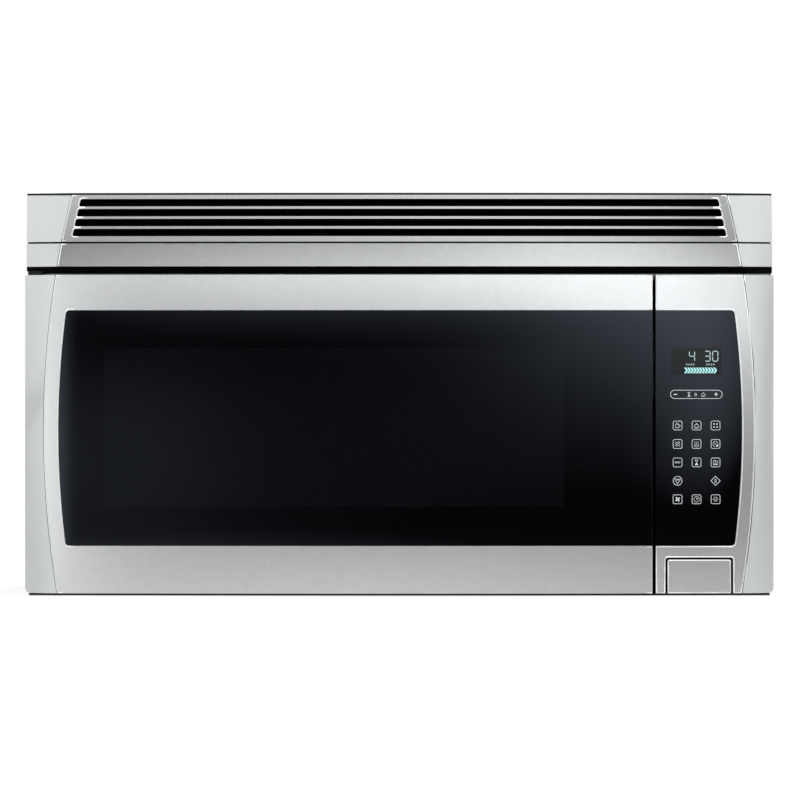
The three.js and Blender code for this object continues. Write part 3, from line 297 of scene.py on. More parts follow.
def floor_paint():
    """White paint with a glow for camera, mirror and glass rays; clear when seen from below."""
    material, tree, paint = blank("floor_white", Base_Color=(0.5, 0.5, 0.5, 1), Roughness=0.9,
                                  Specular_IOR_Level=0.1, Emission_Color=(1, 1, 1, 1))
    rays = tree.nodes.new("ShaderNodeLightPath").outputs
    pool = bell(tree, away(tree, object_axes(tree)["X"], POOL_MIDDLE, POOL_WIDTH))
    glow = math_node(tree, "MULTIPLY", rays["Is Glossy Ray"], math_node(tree, "MULTIPLY", pool, POOL_GLOW))
    for kind, amount in FLOOR_GLOW.items():
        glow = math_node(tree, "MAXIMUM", math_node(tree, "MULTIPLY", rays[f"Is {kind} Ray"], amount), glow)
    tree.links.new(glow, paint.inputs["Emission Strength"])
    behind = tree.nodes.new("ShaderNodeNewGeometry").outputs["Backfacing"]
    mix = tree.nodes.new("ShaderNodeMixShader")
    tree.links.new(math_node(tree, "MULTIPLY", behind, rays["Is Camera Ray"]), mix.inputs["Fac"])
    tree.links.new(paint.outputs[0], mix.inputs[1])
    tree.links.new(tree.nodes.new("ShaderNodeBsdfTransparent").outputs[0], mix.inputs[2])
    tree.links.new(mix.outputs[0], tree.nodes["Material Output"].inputs["Surface"])
    return material


floor_points = [(x * FLOOR_HALF, y * FLOOR_HALF, -FLOOR_DROP) for x, y in SQUARE]
floor_points += [(x * FLOOR_OPEN_X, y * FLOOR_OPEN_Y, -FLOOR_DROP) for x, y in SQUARE]
floor_faces = [(i, (i + 1) % 4, (i + 1) % 4 + 4, i + 4) for i in range(4)]
stage_sheet("floor", floor_points, floor_paint(), floor_faces)
print("floor of", 2 * FLOOR_HALF, "m, open over", 2 * FLOOR_OPEN_X, "by", 2 * FLOOR_OPEN_Y)

# %% [markdown]
# ### The card
# A large card stands before the oven, and only mirrors see it. A dark window in it keeps the
# glass black. Round the window it glows evenly, and soft bumps make it brighter or darker
# where the door, the band, the grille and the wings mirror it, which gives each its tone.

# %% Card
CARD_Y, CARD_HALF, CARD_FOOT, CARD_TOP = -1.25, 1.1, 0.002, 1.5
CARD_LEVEL, CARD_DARK = 2.0, 0.02
CARD_COLOUR = (0.97, 0.985, 1.0, 1)
DARK_MIDDLE, DARK_HALF, DARK_FADE = (0.03, 0.16), (0.53, 0.14), 0.06  # the window, in x and z
CARD_BUMPS = [  # middle x and z, width, height, how much brighter
    (-0.68, 0.15, 0.16, 0.30, 0.3),  # the left side
    (-0.50, 0.58, 0.62, 0.18, -2.6),  # what the band mirrors, dark to bright
    (0.60, 0.57, 0.16, 0.22, -2.5),
    (0.12, 0.54, 0.32, 0.10, -0.8),
    (0.60, 0.53, 0.20, 0.10, -1.2),
    (-0.62, 0.47, 0.14, 0.12, -1.0),
    (-0.12, 0.37, 0.54, 0.06, 1.65),  # the top of the door
    (0.48, 0.37, 0.22, 0.06, 0.9),
    (0.44, 0.31, 0.23, 0.11, 1.15),  # the glow at the top right of the glass
    (0.50, 0.20, 0.09, 0.14, 1.1),
    (-0.42, 0.13, 0.16, 0.12, 0.18),  # and a faint one on its left
    (-0.30, -0.02, 0.55, 0.03, 2.0),  # the foot of the door
    (0.70, 0.12, 0.18, 0.21, -1.9),  # the lower right side
    (0.45, -0.03, 0.35, 0.08, -0.6),
    (0.0, 0.95, 1.50, 0.32, -0.9),  # what the grille mirrors
    (-0.60, 0.85, 0.20, 0.30, -0.3),
    (0.64, 0.80, 0.20, 0.26, -0.6),
]


def near(tree, place, centre, half, fade):
    """1 within half of the centre, falling to 0 over the fade in an S-curve."""
    distance = math_node(tree, "ABSOLUTE", math_node(tree, "SUBTRACT", place, centre))
    return remapped(tree, distance, (half, half + fade, 1.0, 0.0), smooth=True)


def card_paint():
    """Brightness over the card: a level, less the dark window, plus bumps of exp(-r * r)."""
    material = bpy.data.materials.new("card_glow")
    material.use_nodes = True
    tree = material.node_tree
    tree.nodes.clear()
    axes = object_axes(tree)
    dark = [near(tree, axes[axis], middle, half, DARK_FADE)
            for axis, middle, half in zip("XZ", DARK_MIDDLE, DARK_HALF)]
    dimmed = math_node(tree, "MULTIPLY", math_node(tree, "MULTIPLY", *dark), 1 - CARD_DARK)
    glow = math_node(tree, "MULTIPLY", math_node(tree, "SUBTRACT", 1.0, dimmed), CARD_LEVEL)
    for x, z, wide, high, amount in CARD_BUMPS:
        bump = bell(tree, away(tree, axes["X"], x, wide), away(tree, axes["Z"], z, high))
        glow = math_node(tree, "ADD", glow, math_node(tree, "MULTIPLY", bump, amount))
    shine = tree.nodes.new("ShaderNodeEmission")
    shine.inputs["Color"].default_value = CARD_COLOUR
    tree.links.new(math_node(tree, "MAXIMUM", glow, 0.0), shine.inputs["Strength"])
    tree.links.new(shine.outputs[0], tree.nodes.new("ShaderNodeOutputMaterial").inputs["Surface"])
    return material


card_corners = [(-CARD_HALF, CARD_FOOT), (CARD_HALF, CARD_FOOT),
                (CARD_HALF, CARD_TOP), (-CARD_HALF, CARD_TOP)]
card = stage_sheet("card", [(x, CARD_Y, z) for x, z in card_corners], card_paint())
card.visible_camera = False
card.visible_diffuse = False
card.visible_shadow = False
print("card with", len(CARD_BUMPS), "bumps")

# %% [markdown]
# ### Lamps
# A large soft lamp hangs in front, above and to the right, and a weaker one fills from the
# left. Neither shows in mirrors, where the card and the room do all the work.

# %% Lamps
LAMP_AIM = (0, 0, 0.2)
LAMPS = {"key": ((1.1, -2.2, 1.9), (1.6, 1.2), 34), "fill": ((-1.6, -1.6, 1.2), (1.4, 1.4), 10)}
for name, (place, extent, power) in LAMPS.items():
    lamp = bpy.data.objects.new(name, bpy.data.lights.new(name, "AREA"))
    lamp.data.shape = "RECTANGLE"
    lamp.data.size, lamp.data.size_y = extent
    lamp.data.energy = power
    lamp.location = place
    heading = mathutils.Vector(LAMP_AIM) - mathutils.Vector(place)
    lamp.rotation_euler = heading.to_track_quat("-Z", "Y").to_euler()
    lamp.visible_glossy = False
    bpy.context.collection.objects.link(lamp)
print("lamps:", list(LAMPS))

# %% [markdown]
# ## Making meshes
# A finished piece sits at the origin with its place in its mesh, as the frame's own nodes do.
# `add_mesh` makes one from arrays and gives it a body to ride on, the nodes that it stands
# for and its material.

# %% Mesh helpers


def add_mesh(name, vertices, faces, body, slot, material, replaces=(), smooth=True):
    """Puts points (an n x 3 array) and faces into a new object that rides on a body."""
    mesh = bpy.data.meshes.new(name)
    mesh.from_pydata(np.asarray(vertices, float).tolist(), [], [list(f) for f in faces])
    mesh.validate()
    mesh.polygons.foreach_set("use_smooth", [smooth] * len(mesh.polygons))
    mesh.materials.append(material)
    piece = bpy.data.objects.new(name, mesh)
    bpy.context.collection.objects.link(piece)
    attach(piece, body)
    if replaces:
        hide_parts(*replaces)
    return piece


def bevel(piece, width, segments=2, angle=40):
    """Rounds the hard edges, as pressing, moulding or polishing does."""
    rounding = piece.modifiers.new("edges", "BEVEL")
    rounding.width = width
    rounding.segments = segments
    rounding.limit_method = "ANGLE"
    rounding.angle_limit = math.radians(angle)
    rounding.use_clamp_overlap = True
    rounding.harden_normals = True
    return piece


def outwards(mesh):
    """Turns every face of a closed mesh to the outside."""
    bm = bmesh.new()
    bm.from_mesh(mesh)
    bmesh.ops.recalc_face_normals(bm, faces=bm.faces[:])
    bm.to_mesh(mesh)
    bm.free()


def joined(solids):
    """Several meshes as one: the points stacked and each set of faces counted on."""
    points, faces, start = [], [], 0
    for corners, polygons in solids:
        points.append(corners)
        faces += [[int(v) + start for v in polygon] for polygon in polygons]
        start += len(corners)
    return np.vstack(points), faces


def walls_between(rings, sides, closed=False):
    """Four-cornered faces from each ring of points to the next, side by side; closed means that
    the last ring is joined to the first. Point j of ring i is number i * sides + j."""
    i, j = np.meshgrid(np.arange(rings if closed else rings - 1), np.arange(sides), indexing="ij")
    above, beside = (i + 1) % rings, (j + 1) % sides
    corners = [i * sides + j, i * sides + beside, above * sides + beside, above * sides + j]
    return np.stack(corners, axis=-1).reshape(-1, 4).tolist()


def both_corners(box):
    """The lowest and the highest corner of a node's box, as arrays."""
    return [np.array(corner, float) for corner in box]


print("joining two rings of four points takes", len(walls_between(2, 4)), "faces")

# %% [markdown]
# ## Sheets on the bow
# Pressed steel and glass are flat patterns bent over the barrel. The pattern is drawn as
# outlines seen from the front, filled, and cut by upright lines every few millimetres.
# Each strip between two lines stays flat, so the bend is smooth and the shading is clean.

# %% Sheet from outlines
STRIP = 8 * MM  # the bend's facets
WELDED = 1e-6  # a cut this close to a point goes through it


def thickened(flat, faces, depth, thickness):
    """A flat pattern of points (x, z) given its depth, a back and a rim round every edge."""
    count = len(flat)
    front = np.stack([flat[:, 0], depth(flat[:, 0], flat[:, 1]), flat[:, 1]], axis=1)

    def facing(face):
        """The face with its points turning left, which is towards the viewer."""
        x, z = flat[face, 0], flat[face, 1]
        area = np.dot(x, np.roll(z, -1)) - np.dot(z, np.roll(x, -1))
        return face if area > 0 else face[::-1]

    ahead = [facing(list(face)) for face in faces]
    edges = {edge for face in ahead for edge in zip(face, face[1:] + face[:1])}
    rim = [(b, a, a + count, b + count) for a, b in sorted(edges) if (b, a) not in edges]
    rear = [[v + count for v in reversed(face)] for face in ahead]
    return np.vstack([front, front + [0, thickness, 0]]), ahead + rear + rim


def sheet_mesh(outlines, depth, thickness, strip=STRIP):
    """A filled pattern, bent: y is depth(x, z) in front and that plus the thickness behind."""
    bm = bmesh.new()
    for outline in outlines:
        loop = [bm.verts.new((x, 0, z)) for x, z in outline]
        for i, vertex in enumerate(loop):
            bm.edges.new((vertex, loop[(i + 1) % len(loop)]))
    bmesh.ops.triangle_fill(bm, use_beauty=True, edges=bm.edges[:])
    xs = np.array([v.co.x for v in bm.verts])
    for x in np.arange(math.ceil(xs.min() / strip) * strip, xs.max(), strip):
        everything = bm.verts[:] + bm.edges[:] + bm.faces[:]
        bmesh.ops.bisect_plane(bm, geom=everything, plane_co=(x, 0, 0), plane_no=(1, 0, 0), dist=WELDED)
    slanted = [
        e for e in bm.edges
        if len(e.link_faces) == 2 and abs(e.verts[0].co.x - e.verts[1].co.x) > 2 * WELDED
    ]
    bmesh.ops.dissolve_edges(bm, edges=slanted, use_verts=False)
    bm.verts.index_update()
    flat = np.array([(v.co.x, v.co.z) for v in bm.verts])
    faces = [[v.index for v in face.verts] for face in bm.faces]
    bm.free()
    return thickened(flat, faces, depth, thickness)


def eased(corners, steps=5):
    """A closed outline; a corner given as (x, z, r) is turned by a quadratic curve."""
    points = []
    for i, corner in enumerate(corners):
        here = np.array(corner[:2], float)
        if len(corner) < 3:
            points.append(tuple(here))
            continue
        before = np.array(corners[i - 1][:2], float) - here
        after = np.array(corners[(i + 1) % len(corners)][:2], float) - here
        start = here + before / np.linalg.norm(before) * corner[2]
        end = here + after / np.linalg.norm(after) * corner[2]
        t = np.linspace(0, 1, steps + 1)[:, None]
        points += [tuple(p) for p in (1 - t) ** 2 * start + 2 * t * (1 - t) * here + t**2 * end]
    return points


def rectangle(x0, x1, z0, z1, radius):
    """Four eased corners, anticlockwise seen from the front."""
    return eased([(x0, z0, radius), (x1, z0, radius), (x1, z1, radius), (x0, z1, radius)])


print("an eased rectangle has", len(rectangle(0, 1, 0, 1, 0.1)), "points")

# %% [markdown]
# ## Grain, speckle and smear
# Brushed steel has grain: long fine lines along the brushing. Moulded, sprayed and glazed
# skins have speckle. Both are noise, stretched or even, and both carry wiped smears that
# change the gloss alone. Each is a node group, placed in every material that needs it.

# %% Grain, speckle and smear groups
GRAIN_ALONG = 45.0  # noise cells per metre along the brushing
GRAIN_ACROSS = 1700.0  # and across it
HAIRS_ALONG, HAIRS_ACROSS = 6, 2.2  # how much shorter and finer the hairlines are
LINE_SHARE, HAIR_SHARE = 0.6, 0.4
SMEAR_CELLS = (3, 4, 7)  # broad cells per metre along x, y and z


def either_side(tree, middle, amount):
    """A middle less an amount, and the middle plus it."""
    return [math_node(tree, kind, middle, amount) for kind in ("SUBTRACT", "ADD")]


def make_grain():
    """Brushing: long cells along X, hairline cells along Z, two lots of them added."""
    group, given, made = new_group("brushed_grain", {"Tone": 0.06, "Matt": 0.08},
                                   {"Shade": "NodeSocketFloat", "Roughness": "NodeSocketFloat"})
    lines = (GRAIN_ALONG, GRAIN_ALONG, GRAIN_ACROSS)
    hairs = (GRAIN_ALONG * HAIRS_ALONG, GRAIN_ALONG * HAIRS_ALONG, GRAIN_ACROSS * HAIRS_ACROSS)
    both = math_node(
        group, "ADD",
        math_node(group, "MULTIPLY", noise(group, stretched(group, lines), 1, 3, 0.6), LINE_SHARE),
        math_node(group, "MULTIPLY", noise(group, stretched(group, hairs), 1, 1), HAIR_SHARE))
    shade = spread(group, both, *either_side(group, 1.0, given.outputs["Tone"]))
    rough = spread(group, both, *either_side(group, 0.0, given.outputs["Matt"]))
    group.links.new(shade, made.inputs["Shade"])
    group.links.new(rough, made.inputs["Roughness"])
    return group


def make_speckle():
    """Moulded or sprayed texture: even cells of a given size, in cells per metre."""
    group, given, made = new_group("speckle", {"Cells": 2500.0, "Tone": 0.04},
                                   {"Shade": "NodeSocketFloat", "Height": "NodeSocketFloat"})
    cells = group.nodes.new("ShaderNodeTexNoise")
    cells.inputs["Detail"].default_value = 1.5
    group.links.new(stretched(group, (1, 1, 1)), cells.inputs["Vector"])
    group.links.new(given.outputs["Cells"], cells.inputs["Scale"])
    shade = spread(group, cells.outputs["Fac"], *either_side(group, 1.0, given.outputs["Tone"]))
    group.links.new(shade, made.inputs["Shade"])
    group.links.new(cells.outputs["Fac"], made.inputs["Height"])
    return group


def make_smear():
    """Wiped smears: broad, slanting, low-contrast, added to a base roughness."""
    group, given, made = new_group("smear", {"Base": 0.3, "Amount": 0.03}, {"Roughness": "NodeSocketFloat"})
    broad = noise(group, stretched(group, SMEAR_CELLS), 1, 3)
    around = spread(group, broad, *either_side(group, 0.0, given.outputs["Amount"]))
    group.links.new(math_node(group, "ADD", given.outputs["Base"], around), made.inputs["Roughness"])
    return group


GRAIN, SPECKLE, SMEAR = make_grain(), make_speckle(), make_smear()
print("groups:", GRAIN.name, SPECKLE.name, SMEAR.name)

# %% [markdown]
# ## One function per kind of finish
# The shader stays in the material, with its plain numbers on its own sockets. The groups
# feed colour, roughness and bump, all from Object coordinates, so nothing slides.

# %% Finish functions
MOTTLE_CELLS, MOTTLE_DEPTH = 150.0, 0.05 * MM  # rolled steel is never quite flat
SPECKLE_DEPTH = 0.2 * MM


def use_group(tree, group, values):
    """Places a group in a material with its own values."""
    node = tree.nodes.new("ShaderNodeGroup")
    node.node_tree = group
    for label, value in values.items():
        node.inputs[label].default_value = value
    return node


def mixed(tree, mask, plain, masked):
    """One colour where the mask is 0 and another where it is 1; each is a colour or a socket."""
    mix = tree.nodes.new("ShaderNodeMix")
    mix.data_type = "RGBA"
    tree.links.new(mask, mix.inputs["Factor"])
    for label, colour in (("A", plain), ("B", masked)):
        if isinstance(colour, tuple):
            mix.inputs[label].default_value = (*colour, 1)
        else:
            tree.links.new(colour, mix.inputs[label])
    return mix.outputs["Result"]


def tinted(tree, colour, shade):
    """A colour times a shade that varies over the surface."""
    mix = tree.nodes.new("ShaderNodeVectorMath")
    mix.operation = "SCALE"
    mix.inputs[0].default_value = colour
    tree.links.new(shade, mix.inputs["Scale"])
    return mix.outputs[0]


def bumped(tree, shader, height, strength, distance):
    """Tilts the shading by a height that varies over the surface; the distance is in metres."""
    bump = tree.nodes.new("ShaderNodeBump")
    bump.inputs["Strength"].default_value = strength
    bump.inputs["Distance"].default_value = distance
    tree.links.new(height, bump.inputs["Height"])
    tree.links.new(bump.outputs["Normal"], shader.inputs["Normal"])


def brushed(name, colour, roughness, tone, matt=0.05, bump=0.05):
    """Brushed steel: metal whose tone and roughness follow the grain."""
    material, tree, shader = blank(name, Metallic=1.0)
    grain = use_group(tree, GRAIN, {"Tone": tone, "Matt": matt})
    smear = use_group(tree, SMEAR, {"Base": roughness, "Amount": 0.02})
    mottle = use_group(tree, SPECKLE, {"Cells": MOTTLE_CELLS, "Tone": 0.02})
    shade = math_node(tree, "MULTIPLY", grain.outputs["Shade"], mottle.outputs["Shade"])
    tree.links.new(tinted(tree, colour, shade), shader.inputs["Base Color"])
    rough = math_node(tree, "ADD", smear.outputs["Roughness"], grain.outputs["Roughness"], True)
    tree.links.new(rough, shader.inputs["Roughness"])
    bumped(tree, shader, mottle.outputs["Height"], bump, MOTTLE_DEPTH)
    return material


def coated(name, colour, roughness, cells=2500.0, tone=0.04, bump=0.1, smear=0.02, **sockets):
    """Paint, plastic or plate: an even colour with a speckle and wiped roughness."""
    material, tree, shader = blank(name, **sockets)
    speckle = use_group(tree, SPECKLE, {"Cells": cells, "Tone": tone})
    wiped = use_group(tree, SMEAR, {"Base": roughness, "Amount": smear})
    tree.links.new(tinted(tree, colour, speckle.outputs["Shade"]), shader.inputs["Base Color"])
    tree.links.new(wiped.outputs["Roughness"], shader.inputs["Roughness"])
    bumped(tree, shader, speckle.outputs["Height"], bump, SPECKLE_DEPTH)
    return material


print("finish functions for brushed and coated surfaces")

# %% [markdown]
# ## The finishes of this oven
# Colours are written as they would be mixed: linear values of the bare surface. The steel
# is a little warmer than the silver paint of the wings, which has flake but no grain.

# %% Plain materials
STEEL = (0.60, 0.605, 0.605)
BLACK = (0.0014, 0.0015, 0.0016)
COATINGS = {  # colour, roughness, cells per metre, tone, bump, plain sockets
    "black_plastic": (BLACK, 0.6, 3000, 0.2, 0.2, {"Specular_IOR_Level": 0.05}),
    "black_steel": ((0.010, 0.010, 0.011), 0.45, 1600, 0.15, 0.3, {"Specular_IOR_Level": 0.2}),
    "zinc_steel": ((0.5, 0.51, 0.52), 0.36, 240, 0.12, 0.05, {"Metallic": 0.9}),
    "cavity_paint": ((0.52, 0.52, 0.5), 0.3, 900, 0.03, 0.1, {}),
    "aluminium": ((0.62, 0.62, 0.63), 0.35, 700, 0.1, 0.1, {"Metallic": 1.0}),
    "carbon": ((0.012, 0.012, 0.012), 0.8, 500, 0.5, 1.0, {}),
    "circuit_board": ((0.02, 0.13, 0.045), 0.4, 900, 0.2, 0.1, {}),
    "mica": ((0.42, 0.31, 0.17), 0.5, 120, 0.2, 0.2, {}),
    "spring_steel": ((0.55, 0.55, 0.55), 0.25, 900, 0.05, 0.05, {"Metallic": 1.0}),
    "white_plastic": ((0.72, 0.71, 0.67), 0.42, 2500, 0.03, 0.1, {}),
    "lamp_glass": ((0.78, 0.77, 0.72), 0.25, 1200, 0.04, 0.2, {}),
}
FINISHES = {"stainless": brushed("stainless", STEEL, 0.24, 0.03, 0.015, 0.2)}
for name, (*numbers, sockets) in COATINGS.items():
    FINISHES[name] = coated(name, *numbers, **sockets)
print(len(FINISHES), "plain finishes")

# %% [markdown]
# ### Painted wings and glass
# The wings are black plastic under silver paint. The paint is left off a thin strip beside the steel:
# a painted shade line along each seam, where the step between steel and wing would be in shadow. A mask
# from the arc's formula makes that line. The glass is black behind, with a shade more light through the
# fine dots of its window.

# %% Painted wings and glass
SILVER = (0.60, 0.615, 0.615)
# the width of the black strip beside the steel: painted shade along each seam
SEAM_SHADE_WIDTH = 0.45 * MM
GLASS_BLACK, TRAY_TINT = (0.0016, 0.0018, 0.0022), (0.86, 0.93, 0.91)
SEE_ACROSS, SEE_UP, SEE_LIGHT = (-0.298, 0.166), (0.090, 0.250), 1.2  # the see-through window


def between(tree, value, bounds):
    """1 where a value lies between two bounds."""
    low, high = bounds
    above = math_node(tree, "GREATER_THAN", value, low)
    return math_node(tree, "MULTIPLY", above, math_node(tree, "LESS_THAN", value, high))


def in_see_window(tree, axes):
    """1 in front of the see-through window of the door."""
    across, up = between(tree, axes["X"], SEE_ACROSS), between(tree, axes["Z"], SEE_UP)
    return math_node(tree, "MULTIPLY", across, up)


def wing_paint():
    """Silver beyond the seam and black in a thin strip of painted shade along it: silver where |x| is over reach -
    radius + sqrt(radius^2 - z^2) plus the strip.
    """
    material, tree, shader = blank("silver_paint", Specular_IOR_Level=0.15)
    axes = object_axes(tree)
    rise = math_node(tree, "SUBTRACT", axes["Z"], SEAM_HEIGHT)
    square = math_node(tree, "SUBTRACT", SEAM_RADIUS**2, math_node(tree, "MULTIPLY", rise, rise))
    reach = math_node(tree, "ADD", math_node(tree, "SQRT", square), SEAM_REACH - SEAM_RADIUS + SEAM_SHADE_WIDTH)
    painted = math_node(tree, "GREATER_THAN", math_node(tree, "ABSOLUTE", axes["X"]), reach)
    flake = use_group(tree, SPECKLE, {"Cells": 4000.0, "Tone": 0.03})
    wiped = use_group(tree, SMEAR, {"Base": 0.34, "Amount": 0.02})
    paint = mixed(tree, painted, BLACK, tinted(tree, SILVER, flake.outputs["Shade"]))
    tree.links.new(paint, shader.inputs["Base Color"])
    tree.links.new(math_node(tree, "MULTIPLY", painted, 0.8), shader.inputs["Metallic"])
    tree.links.new(wiped.outputs["Roughness"], shader.inputs["Roughness"])
    bumped(tree, shader, flake.outputs["Height"], 0.03, SPECKLE_DEPTH)
    return material


def black_glass():
    """Printed-back glass: black, with the see-through window's fine dots a shade lighter."""
    material, tree, shader = blank("black_glass", IOR=1.5, Specular_Tint=(0.74, 0.83, 1.0, 1))
    wiped = use_group(tree, SMEAR, {"Base": 0.045, "Amount": 0.012})
    speckle = use_group(tree, SPECKLE, {"Cells": 900.0, "Tone": 0.5})
    light = math_node(tree, "MULTIPLY", in_see_window(tree, object_axes(tree)), SEE_LIGHT)
    shade = math_node(tree, "MULTIPLY", speckle.outputs["Shade"], math_node(tree, "ADD", light, 1.0))
    tree.links.new(tinted(tree, GLASS_BLACK, shade), shader.inputs["Base Color"])
    tree.links.new(wiped.outputs["Roughness"], shader.inputs["Roughness"])
    return material


def clear_glass():
    """Faintly green glass that is seen through, wiped like the rest."""
    material, tree, shader = blank("clear_glass", Transmission_Weight=1.0, IOR=1.5)
    wiped = use_group(tree, SMEAR, {"Base": 0.05, "Amount": 0.02})
    speckle = use_group(tree, SPECKLE, {"Cells": 20.0, "Tone": 0.02})
    tree.links.new(tinted(tree, TRAY_TINT, speckle.outputs["Shade"]), shader.inputs["Base Color"])
    tree.links.new(wiped.outputs["Roughness"], shader.inputs["Roughness"])
    return material


FINISHES |= {"silver_paint": wing_paint(), "black_glass": black_glass(), "tray_glass": clear_glass()}
print(len(FINISHES), "finishes")

# %% [markdown]
# ## Dressing the frame
# Most nodes already have their true shape and only need their finish. Their meshes are
# loose triangles, so a Weld closes them. A small geometry-nodes group then smooths every
# edge that turns less than thirty degrees, and a Bevel breaks the sharp ones that are left.

# %% A smoothing group
SMOOTH_BELOW = math.radians(30)


def make_smoothing():
    """Edges that turn less than a set angle are shaded smooth, and the rest stay sharp."""
    group = bpy.data.node_groups.new("smooth_by_angle", "GeometryNodeTree")
    group.is_modifier = True
    group.interface.new_socket("Geometry", in_out="INPUT", socket_type="NodeSocketGeometry")
    group.interface.new_socket("Geometry", in_out="OUTPUT", socket_type="NodeSocketGeometry")
    given, made = group.nodes.new("NodeGroupInput"), group.nodes.new("NodeGroupOutput")
    slight = group.nodes.new("FunctionNodeCompare")
    slight.operation = "LESS_THAN"
    angle = group.nodes.new("GeometryNodeInputMeshEdgeAngle")
    group.links.new(angle.outputs["Unsigned Angle"], slight.inputs["A"])
    slight.inputs["B"].default_value = SMOOTH_BELOW
    along = group.nodes.new("GeometryNodeSetShadeSmooth")
    along.domain = "EDGE"
    over = group.nodes.new("GeometryNodeSetShadeSmooth")
    group.links.new(given.outputs[0], along.inputs["Geometry"])
    group.links.new(slight.outputs["Result"], along.inputs["Shade Smooth"])
    group.links.new(along.outputs[0], over.inputs["Geometry"])
    group.links.new(over.outputs[0], made.inputs[0])
    return group


SMOOTHING = make_smoothing()
print("smoothing below", round(math.degrees(SMOOTH_BELOW)), "degrees")

# %% [markdown]
# ### Every node its finish
# The record names a material for each node. The four mouldings of the front also get a
# slightly rounded edge, as moulded plastic and pressed sheet have.

# %% Finish every node
WELD_WITHIN = 0.01 * MM
slots = {s["node"]: s["material_slot"] for s in frame["record"]["subparts"]}
# node: radius of its edges, in millimetres
ROUNDED = {"door_frame": 0.5, "control_panel_frame": 0.5, "vent_grille": 0.4, "upper_trim_band": 0.4}
for name, node in nodes.items():
    node.data.materials.clear()
    node.data.materials.append(FINISHES[slots[name]])
    weld = node.modifiers.new("weld", "WELD")
    weld.merge_threshold = WELD_WITHIN
    node.modifiers.new("smooth", "NODES").node_group = SMOOTHING
    if name in ROUNDED:
        bevel(node, ROUNDED[name] * MM)
print("dressed", len(nodes), "nodes in", sorted(set(slots.values())))

# %% [markdown]
# ## Stainless skins
# The steel over the front is four pressed sheets: the door's, the control panel's, a trim
# band and the grille. Their side lines are the long arcs of the front, the door's and the
# panel's windows have an arc of their own, and the panel is notched for the release button.

# %% Outlines of the front
ARC_STEPS = 28
CORNER, NOTCH_CORNER = 4.0 * MM, 3.0 * MM
GROOVE = 2.0 * MM  # all round the button
button_low, button_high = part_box("door_release_button")
BUTTON_LEFT, BUTTON_RIGHT, BUTTON_TOP = float(button_low[0]), float(button_high[0]), float(button_high[2])


def seam_line(side, low, high):
    """The seam from a low height to a high one, on the left (-1) or the right (1)."""
    z = np.linspace(low, high, ARC_STEPS)
    return [(float(x), float(h)) for x, h in zip(side * seam(z), z)]


def window_arc(side, reach, inset=0.0):
    """The arc end of a window from bottom to top, its two corners marked to be eased."""
    z = np.linspace(WINDOW_LOW + inset, WINDOW_HIGH - inset, ARC_STEPS)
    points = [(float(x), float(h)) for x, h in zip(side * arc(reach - inset, WINDOW_RADIUS, z), z)]
    points[0] += (CORNER,)
    points[-1] += (CORNER,)
    return points


door_outline = (
    seam_line(-1, DOOR_BOTTOM, DOOR_TOP)
    + [(DOOR_RIGHT, DOOR_TOP), (DOOR_RIGHT, WINDOW_HIGH)]
    + window_arc(-1, WINDOW_REACH_LEFT)[::-1]
    + [(DOOR_RIGHT, WINDOW_LOW), (DOOR_RIGHT, DOOR_BOTTOM)]
)
notch_left, notch_right, notch_top = BUTTON_LEFT - GROOVE, BUTTON_RIGHT + GROOVE, BUTTON_TOP + GROOVE
panel_outline = (
    seam_line(1, DOOR_BOTTOM, DOOR_TOP)
    + [(PANEL_LEFT, DOOR_TOP), (PANEL_LEFT, WINDOW_HIGH)]
    + window_arc(1, WINDOW_REACH_RIGHT)[::-1]
    + [(PANEL_LEFT, WINDOW_LOW), (PANEL_LEFT, DOOR_BOTTOM), (notch_left, DOOR_BOTTOM)]
    + [(notch_left, notch_top, NOTCH_CORNER), (notch_right, notch_top, NOTCH_CORNER)]
    + [(notch_right, DOOR_BOTTOM)]
)
print("door outline", len(door_outline), "points, panel outline", len(panel_outline))

# %% [markdown]
# ### Rolled edges
# Pressed steel is folded over at its edges, and the fold mirrors the whole room in one thin
# line. A round bead along each outline, sunk a little in the sheet, gives that line. The bead's steel
# is much paler than the sheet's, so the line is partly a painted highlight.

# %% Rolled edges
HEM, HEM_SIDES = 0.8 * MM, 12
HEM_SINK = HEM - 0.3 * MM  # the bead's middle lies this far behind the face
# paler than the sheet's steel: partly polish, partly a painted highlight
HIGHLIGHT_EDGE_STEEL = brushed("rolled_edge_highlight", (0.86, 0.865, 0.865), 0.16, 0.02, 0.01, 0.0)


def on_bow(recess=0.0):
    """The depth of the bow at x, set back by a recess."""
    return lambda x, z: bow(x) + recess


def mitres(path, closed=True):
    """The unit step to the left at each point, along the bisector of the two stretches that
    meet there, and longer by one over the cosine of half the turn, at most doubled."""
    ahead, behind = np.roll(path, -1, axis=0) - path, path - np.roll(path, 1, axis=0)
    if not closed:
        ahead[-1], behind[0] = behind[-1], ahead[0]
    ahead /= np.linalg.norm(ahead, axis=1, keepdims=True)
    behind /= np.linalg.norm(behind, axis=1, keepdims=True)
    middle = ahead + behind
    middle /= np.linalg.norm(middle, axis=1, keepdims=True)
    left = np.stack([-middle[:, 1], middle[:, 0]], axis=1)
    return left / np.clip(np.sum(middle * ahead, axis=1, keepdims=True), 0.5, 1)


def moved_in(outline, distance):
    """An outline moved to its left by a distance, with its corners mitred."""
    path = np.array(outline)
    return path + mitres(path) * distance


def turning(outline):
    """+1 where an outline runs anticlockwise, -1 where it runs clockwise."""
    x, z = np.array(outline).T
    return math.copysign(1, np.dot(x, np.roll(z, -1)) - np.dot(z, np.roll(x, -1)))


